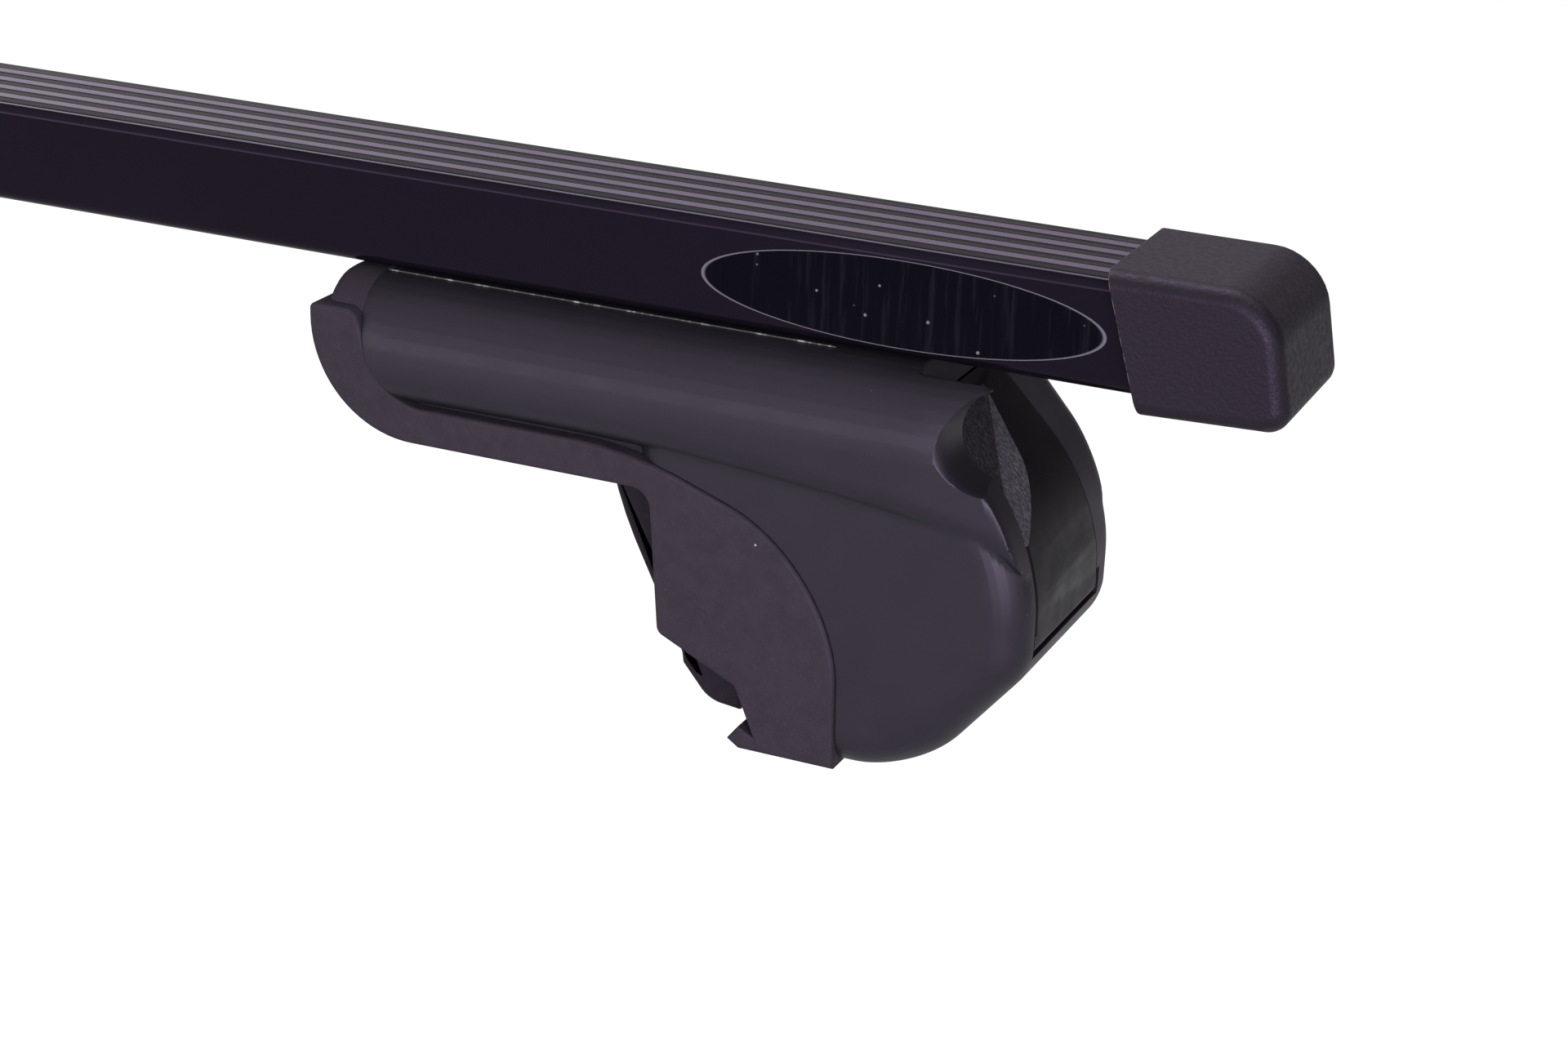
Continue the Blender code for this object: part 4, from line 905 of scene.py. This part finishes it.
class ROOFBAR_OT_hardware(bpy.types.Operator):
    """Gives the steel pieces that stay as they are their plated and spring steel finishes"""
    bl_idname = "roofbar.hardware"
    bl_label = "Steel hardware"

    def execute(self, context):
        zinc = ("screw_nut", "bar_bracket", "nut_plate", "bar_bolt_inner", "bar_bolt_outer",
                "bar_washer_inner", "bar_washer_outer")
        for side, _ in SIDES:
            for name in zinc + ("cover_hinge_pin", "jaw_clip"):
                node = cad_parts[name + "_" + side]
                metal = finish("zinc_steel" if name in zinc else "spring_steel")
                for index in range(len(node.data.materials)):
                    node.data.materials[index] = metal
        return {"FINISHED"}


# Stage

def aim(target, back, centre, roll=0.0):
    """Stands a camera or a lamp at a centre, looking against the direction back."""
    right = Vector((0, 0, 1)).cross(back).normalized()
    up = back.cross(right)
    tilted_right = right * math.cos(roll) + up * math.sin(roll)
    tilted_up = up * math.cos(roll) - right * math.sin(roll)
    matrix = Matrix((tilted_right, tilted_up, back)).transposed().to_4x4()
    matrix.translation = centre
    target.matrix_world = matrix
    return tilted_right, tilted_up


def add_camera():
    look = bpy.context.scene.roof_bar_stage
    turn, rise, roll = look.camera_turn, look.camera_rise, look.camera_roll
    back = Vector((math.sin(turn) * math.cos(rise), -math.cos(turn) * math.cos(rise), math.sin(rise)))
    lens = bpy.data.cameras.new("camera")
    lens.sensor_width = 36
    lens.lens = look.focal_length
    lens.clip_start = 0.01
    camera = bpy.data.objects.new("camera", lens)
    bpy.context.scene.collection.objects.link(camera)
    right, up = aim(camera, back, (0, 0, 0), roll)
    centre = Vector((0.5655, 0, 0.098)) + right * -0.061436 + up * -0.046151 + back * 0.544837
    aim(camera, back, centre, roll)
    bpy.context.scene.camera = camera


def add_lamp(name, place, target, size, power, colour=(1.0, 1.0, 1.0)):
    data = bpy.data.lights.new(name, "AREA")
    data.shape = "RECTANGLE"
    data.size, data.size_y = size
    data.energy = power
    data.color = colour
    lamp = bpy.data.objects.new(name, data)
    bpy.context.scene.collection.objects.link(lamp)
    back = (Vector(place) - Vector(target)).normalized()
    if abs(back.z) > 0.999:
        lamp.location = place
    else:
        aim(lamp, back, place)
    return lamp


def computed(tree, operation, first, second):
    """The output of a maths node on two values or outputs."""
    node = tree.nodes.new("ShaderNodeMath")
    node.operation = operation
    for socket, value in zip(node.inputs, (first, second)):
        if isinstance(value, bpy.types.NodeSocket):
            tree.links.new(value, socket)
        else:
            socket.default_value = value
    return node.outputs[0]


def looked_at(tree, path):
    """1 for what the camera sees, straight or through clear matter, and 0 for all else."""
    return computed(tree, "MAXIMUM", path.outputs["Is Camera Ray"], path.outputs["Is Transmission Ray"])


def floor_finish():
    """White where it is looked at, duller where it is mirrored, and clear from below."""
    made = bpy.data.materials.new("stage_floor")
    made.use_nodes = True
    tree = made.node_tree
    nodes, links = tree.nodes, tree.links
    nodes.clear()
    out = nodes.new("ShaderNodeOutputMaterial")
    add = nodes.new("ShaderNodeAddShader")
    matt = nodes.new("ShaderNodeBsdfDiffuse")
    matt.inputs["Color"].default_value = (0.18, 0.18, 0.18, 1)
    glow = nodes.new("ShaderNodeEmission")
    glow.inputs["Color"].default_value = (1, 1, 1, 1)
    path = nodes.new("ShaderNodeLightPath")
    shown = computed(tree, "MULTIPLY", looked_at(tree, path), FLOOR_SHOWN)
    mirrored = computed(tree, "MULTIPLY", path.outputs["Is Glossy Ray"], FLOOR_MIRRORED)
    links.new(computed(tree, "ADD", shown, mirrored), glow.inputs["Strength"])
    links.new(matt.outputs[0], add.inputs[0])
    links.new(glow.outputs[0], add.inputs[1])
    clear = nodes.new("ShaderNodeBsdfTransparent")
    under = nodes.new("ShaderNodeMixShader")
    links.new(nodes.new("ShaderNodeNewGeometry").outputs["Backfacing"], under.inputs[0])
    links.new(add.outputs[0], under.inputs[1])
    links.new(clear.outputs[0], under.inputs[2])
    links.new(under.outputs[0], out.inputs[0])
    return made


def add_world():
    """A studio round the object, white where it is looked at. In reflections it is white at the
    horizon, brightest in front, darker above and darkest at the back on the right."""
    world = bpy.data.worlds.new("studio")
    bpy.context.scene.world = world
    world.use_nodes = True
    tree = world.node_tree
    nodes, links = tree.nodes, tree.links
    back = nodes["Background"]
    place = nodes.new("ShaderNodeTexCoord")
    parts = nodes.new("ShaderNodeSeparateXYZ")
    links.new(place.outputs["Generated"], parts.inputs[0])

    def ranged(source, low, high, to_low, to_high):
        node = nodes.new("ShaderNodeMapRange")
        links.new(source, node.inputs["Value"])
        for socket, value in (("From Min", low), ("From Max", high), ("To Min", to_low),
                              ("To Max", to_high)):
            node.inputs[socket].default_value = value
        return node.outputs[0]

    rise = ranged(parts.outputs["Z"], 0.04, 0.26, 1.0, 0.24)
    side = ranged(parts.outputs["X"], 0.0, 0.3, 0.0, 0.96)
    behind = ranged(parts.outputs["Y"], -0.1, 0.4, 0.0, 1.0)
    front = ranged(parts.outputs["Y"], -0.7, 0.0, 3.2, 1.0)
    lit = computed(tree, "SUBTRACT", 1.0, computed(tree, "MULTIPLY", side, behind))
    level = computed(tree, "MULTIPLY", computed(tree, "MULTIPLY", rise, lit), front)
    shown = nodes.new("ShaderNodeMix")
    links.new(looked_at(tree, nodes.new("ShaderNodeLightPath")), shown.inputs[0])
    links.new(level, shown.inputs[2])
    shown.inputs[3].default_value = 1.0
    links.new(shown.outputs[0], back.inputs["Strength"])
    back.inputs["Color"].default_value = (1.0, 0.97, 1.0, 1)


class ROOFBAR_OT_stage(bpy.types.Operator):
    """Sets the camera, the floor, the lamps and the studio round the object"""
    bl_idname = "roofbar.stage"
    bl_label = "Stage"

    def execute(self, context):
        look = context.scene.roof_bar_stage
        context.scene.view_settings.view_transform = "Standard"
        add_camera()
        shape = bmesh.new()
        bmesh.ops.create_grid(shape, x_segments=1, y_segments=1, size=6.0)
        bmesh.ops.translate(shape, verts=shape.verts[:], vec=(0, 0, -0.4))
        floor = as_object(shape, "stage_floor")
        floor.data.materials.append(floor_finish())
        add_lamp("soft_box", (-0.3, 0.7, 1.5), (-0.3, 0.7, 0.0), (3.0, 0.6), look.lamp_power,
                 (1.0, 0.93, 1.0))
        add_lamp("front_box", (1.35, -1.3, 0.42), (0.53, 0.0, 0.06), (0.9, 0.5), look.front_power,
                 (0.97, 0.95, 1.0))
        add_world()
        return {"FINISHED"}


# Settings and panel

class RoofBarSizes(bpy.types.PropertyGroup):
    rib_count: IntProperty(name="Ribs", description="Number of ribs along the top of the bar",
                           default=4, min=1, max=5)
    rib_pitch: FloatProperty(name="Rib pitch", description="Distance between the middles of two ribs",
                             default=0.00567, unit="LENGTH", subtype="DISTANCE", precision=5)
    rib_width: FloatProperty(name="Rib width", description="Width of a rib at its foot",
                             default=0.0035, unit="LENGTH", subtype="DISTANCE", precision=5)
    rib_height: FloatProperty(name="Rib height", description="Height of a rib above the bar",
                              default=0.0005, unit="LENGTH", subtype="DISTANCE", precision=5)
    bar_corner: FloatProperty(name="Bar corner", description="Radius of the tube's four corners",
                              default=0.0022, unit="LENGTH", subtype="DISTANCE", precision=5)
    cap_edge: FloatProperty(name="Cap edge", description="Radius of the caps' side edges",
                            default=0.003, unit="LENGTH", subtype="DISTANCE", precision=5)
    screw_pitch: FloatProperty(name="Screw pitch", description="Rise of the clamp screw's thread a turn",
                               default=0.00125, unit="LENGTH", subtype="DISTANCE", precision=5)


class RoofBarFinishes(bpy.types.PropertyGroup):
    shell_colour: FloatVectorProperty(name="Shell", description="Colour of the hard mouldings",
                                      default=(0.0118, 0.0100, 0.0138), subtype="COLOR", min=0, max=1)
    boot_colour: FloatVectorProperty(name="Boot", description="Colour of the rubber boots",
                                     default=(0.023, 0.0185, 0.023), subtype="COLOR", min=0, max=1)
    cover_colour: FloatVectorProperty(name="Cover", description="Colour of the end covers",
                                      default=(0.005, 0.004, 0.0055), subtype="COLOR", min=0, max=1)
    cap_colour: FloatVectorProperty(name="Cap", description="Colour of the bar's end caps",
                                    default=(0.0105, 0.0085, 0.0115), subtype="COLOR", min=0, max=1)
    bar_colour: FloatVectorProperty(name="Bar", description="Colour of the bar's coating",
                                    default=(0.005, 0.004, 0.007), subtype="COLOR", min=0, max=1)


class RoofBarStage(bpy.types.PropertyGroup):
    camera_turn: FloatProperty(name="Camera turn", description="Turn of the camera about the object",
                               default=math.radians(23.074), subtype="ANGLE")
    camera_rise: FloatProperty(name="Camera rise", description="Height angle of the camera",
                               default=math.radians(21.230), subtype="ANGLE")
    camera_roll: FloatProperty(name="Camera roll", description="Roll of the camera about its view",
                               default=math.radians(2.419), subtype="ANGLE")
    focal_length: FloatProperty(name="Lens", description="Focal length of the camera in millimetres",
                                default=71.672, subtype="DISTANCE_CAMERA")
    lamp_power: FloatProperty(name="Lamp power", description="Power of the overhead soft box",
                              default=34.0, subtype="POWER")
    front_power: FloatProperty(name="Front power", description="Power of the soft box at the front right",
                               default=18.0, subtype="POWER")


class ROOFBAR_PT_pieces(bpy.types.Panel):
    """Lists the pieces of the roof bar and their settings"""
    bl_idname = "ROOFBAR_PT_pieces"
    bl_label = "Roof bar"
    bl_space_type = "VIEW_3D"
    bl_region_type = "UI"
    bl_category = "Roof bar"

    def draw(self, context):
        layout = self.layout
        for operator in PIECES:
            layout.operator(operator.bl_idname)
        for group in GROUPS:
            settings = getattr(context.scene, group)
            for name in settings.bl_rna.properties.keys():
                if name not in ("rna_type", "name"):
                    layout.prop(settings, name)


PIECES = (ROOFBAR_OT_shells, ROOFBAR_OT_boots, ROOFBAR_OT_covers, ROOFBAR_OT_jaws, ROOFBAR_OT_screws,
          ROOFBAR_OT_bar, ROOFBAR_OT_caps, ROOFBAR_OT_film, ROOFBAR_OT_hardware, ROOFBAR_OT_stage)
GROUPS = {"roof_bar_sizes": RoofBarSizes, "roof_bar_finishes": RoofBarFinishes,
          "roof_bar_stage": RoofBarStage}


def register():
    for group, kind in GROUPS.items():
        bpy.utils.register_class(kind)
        setattr(bpy.types.Scene, group, PointerProperty(type=kind))
    for kind in PIECES + (ROOFBAR_PT_pieces,):
        bpy.utils.register_class(kind)


def unregister():
    for kind in reversed(PIECES + (ROOFBAR_PT_pieces,)):
        bpy.utils.unregister_class(kind)
    for group, kind in reversed(list(GROUPS.items())):
        delattr(bpy.types.Scene, group)
        bpy.utils.unregister_class(kind)


def main():
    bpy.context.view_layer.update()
    register()
    for operator in PIECES:
        group, name = operator.bl_idname.split(".")
        getattr(getattr(bpy.ops, group), name)()


if __name__ == "__main__":
    main()
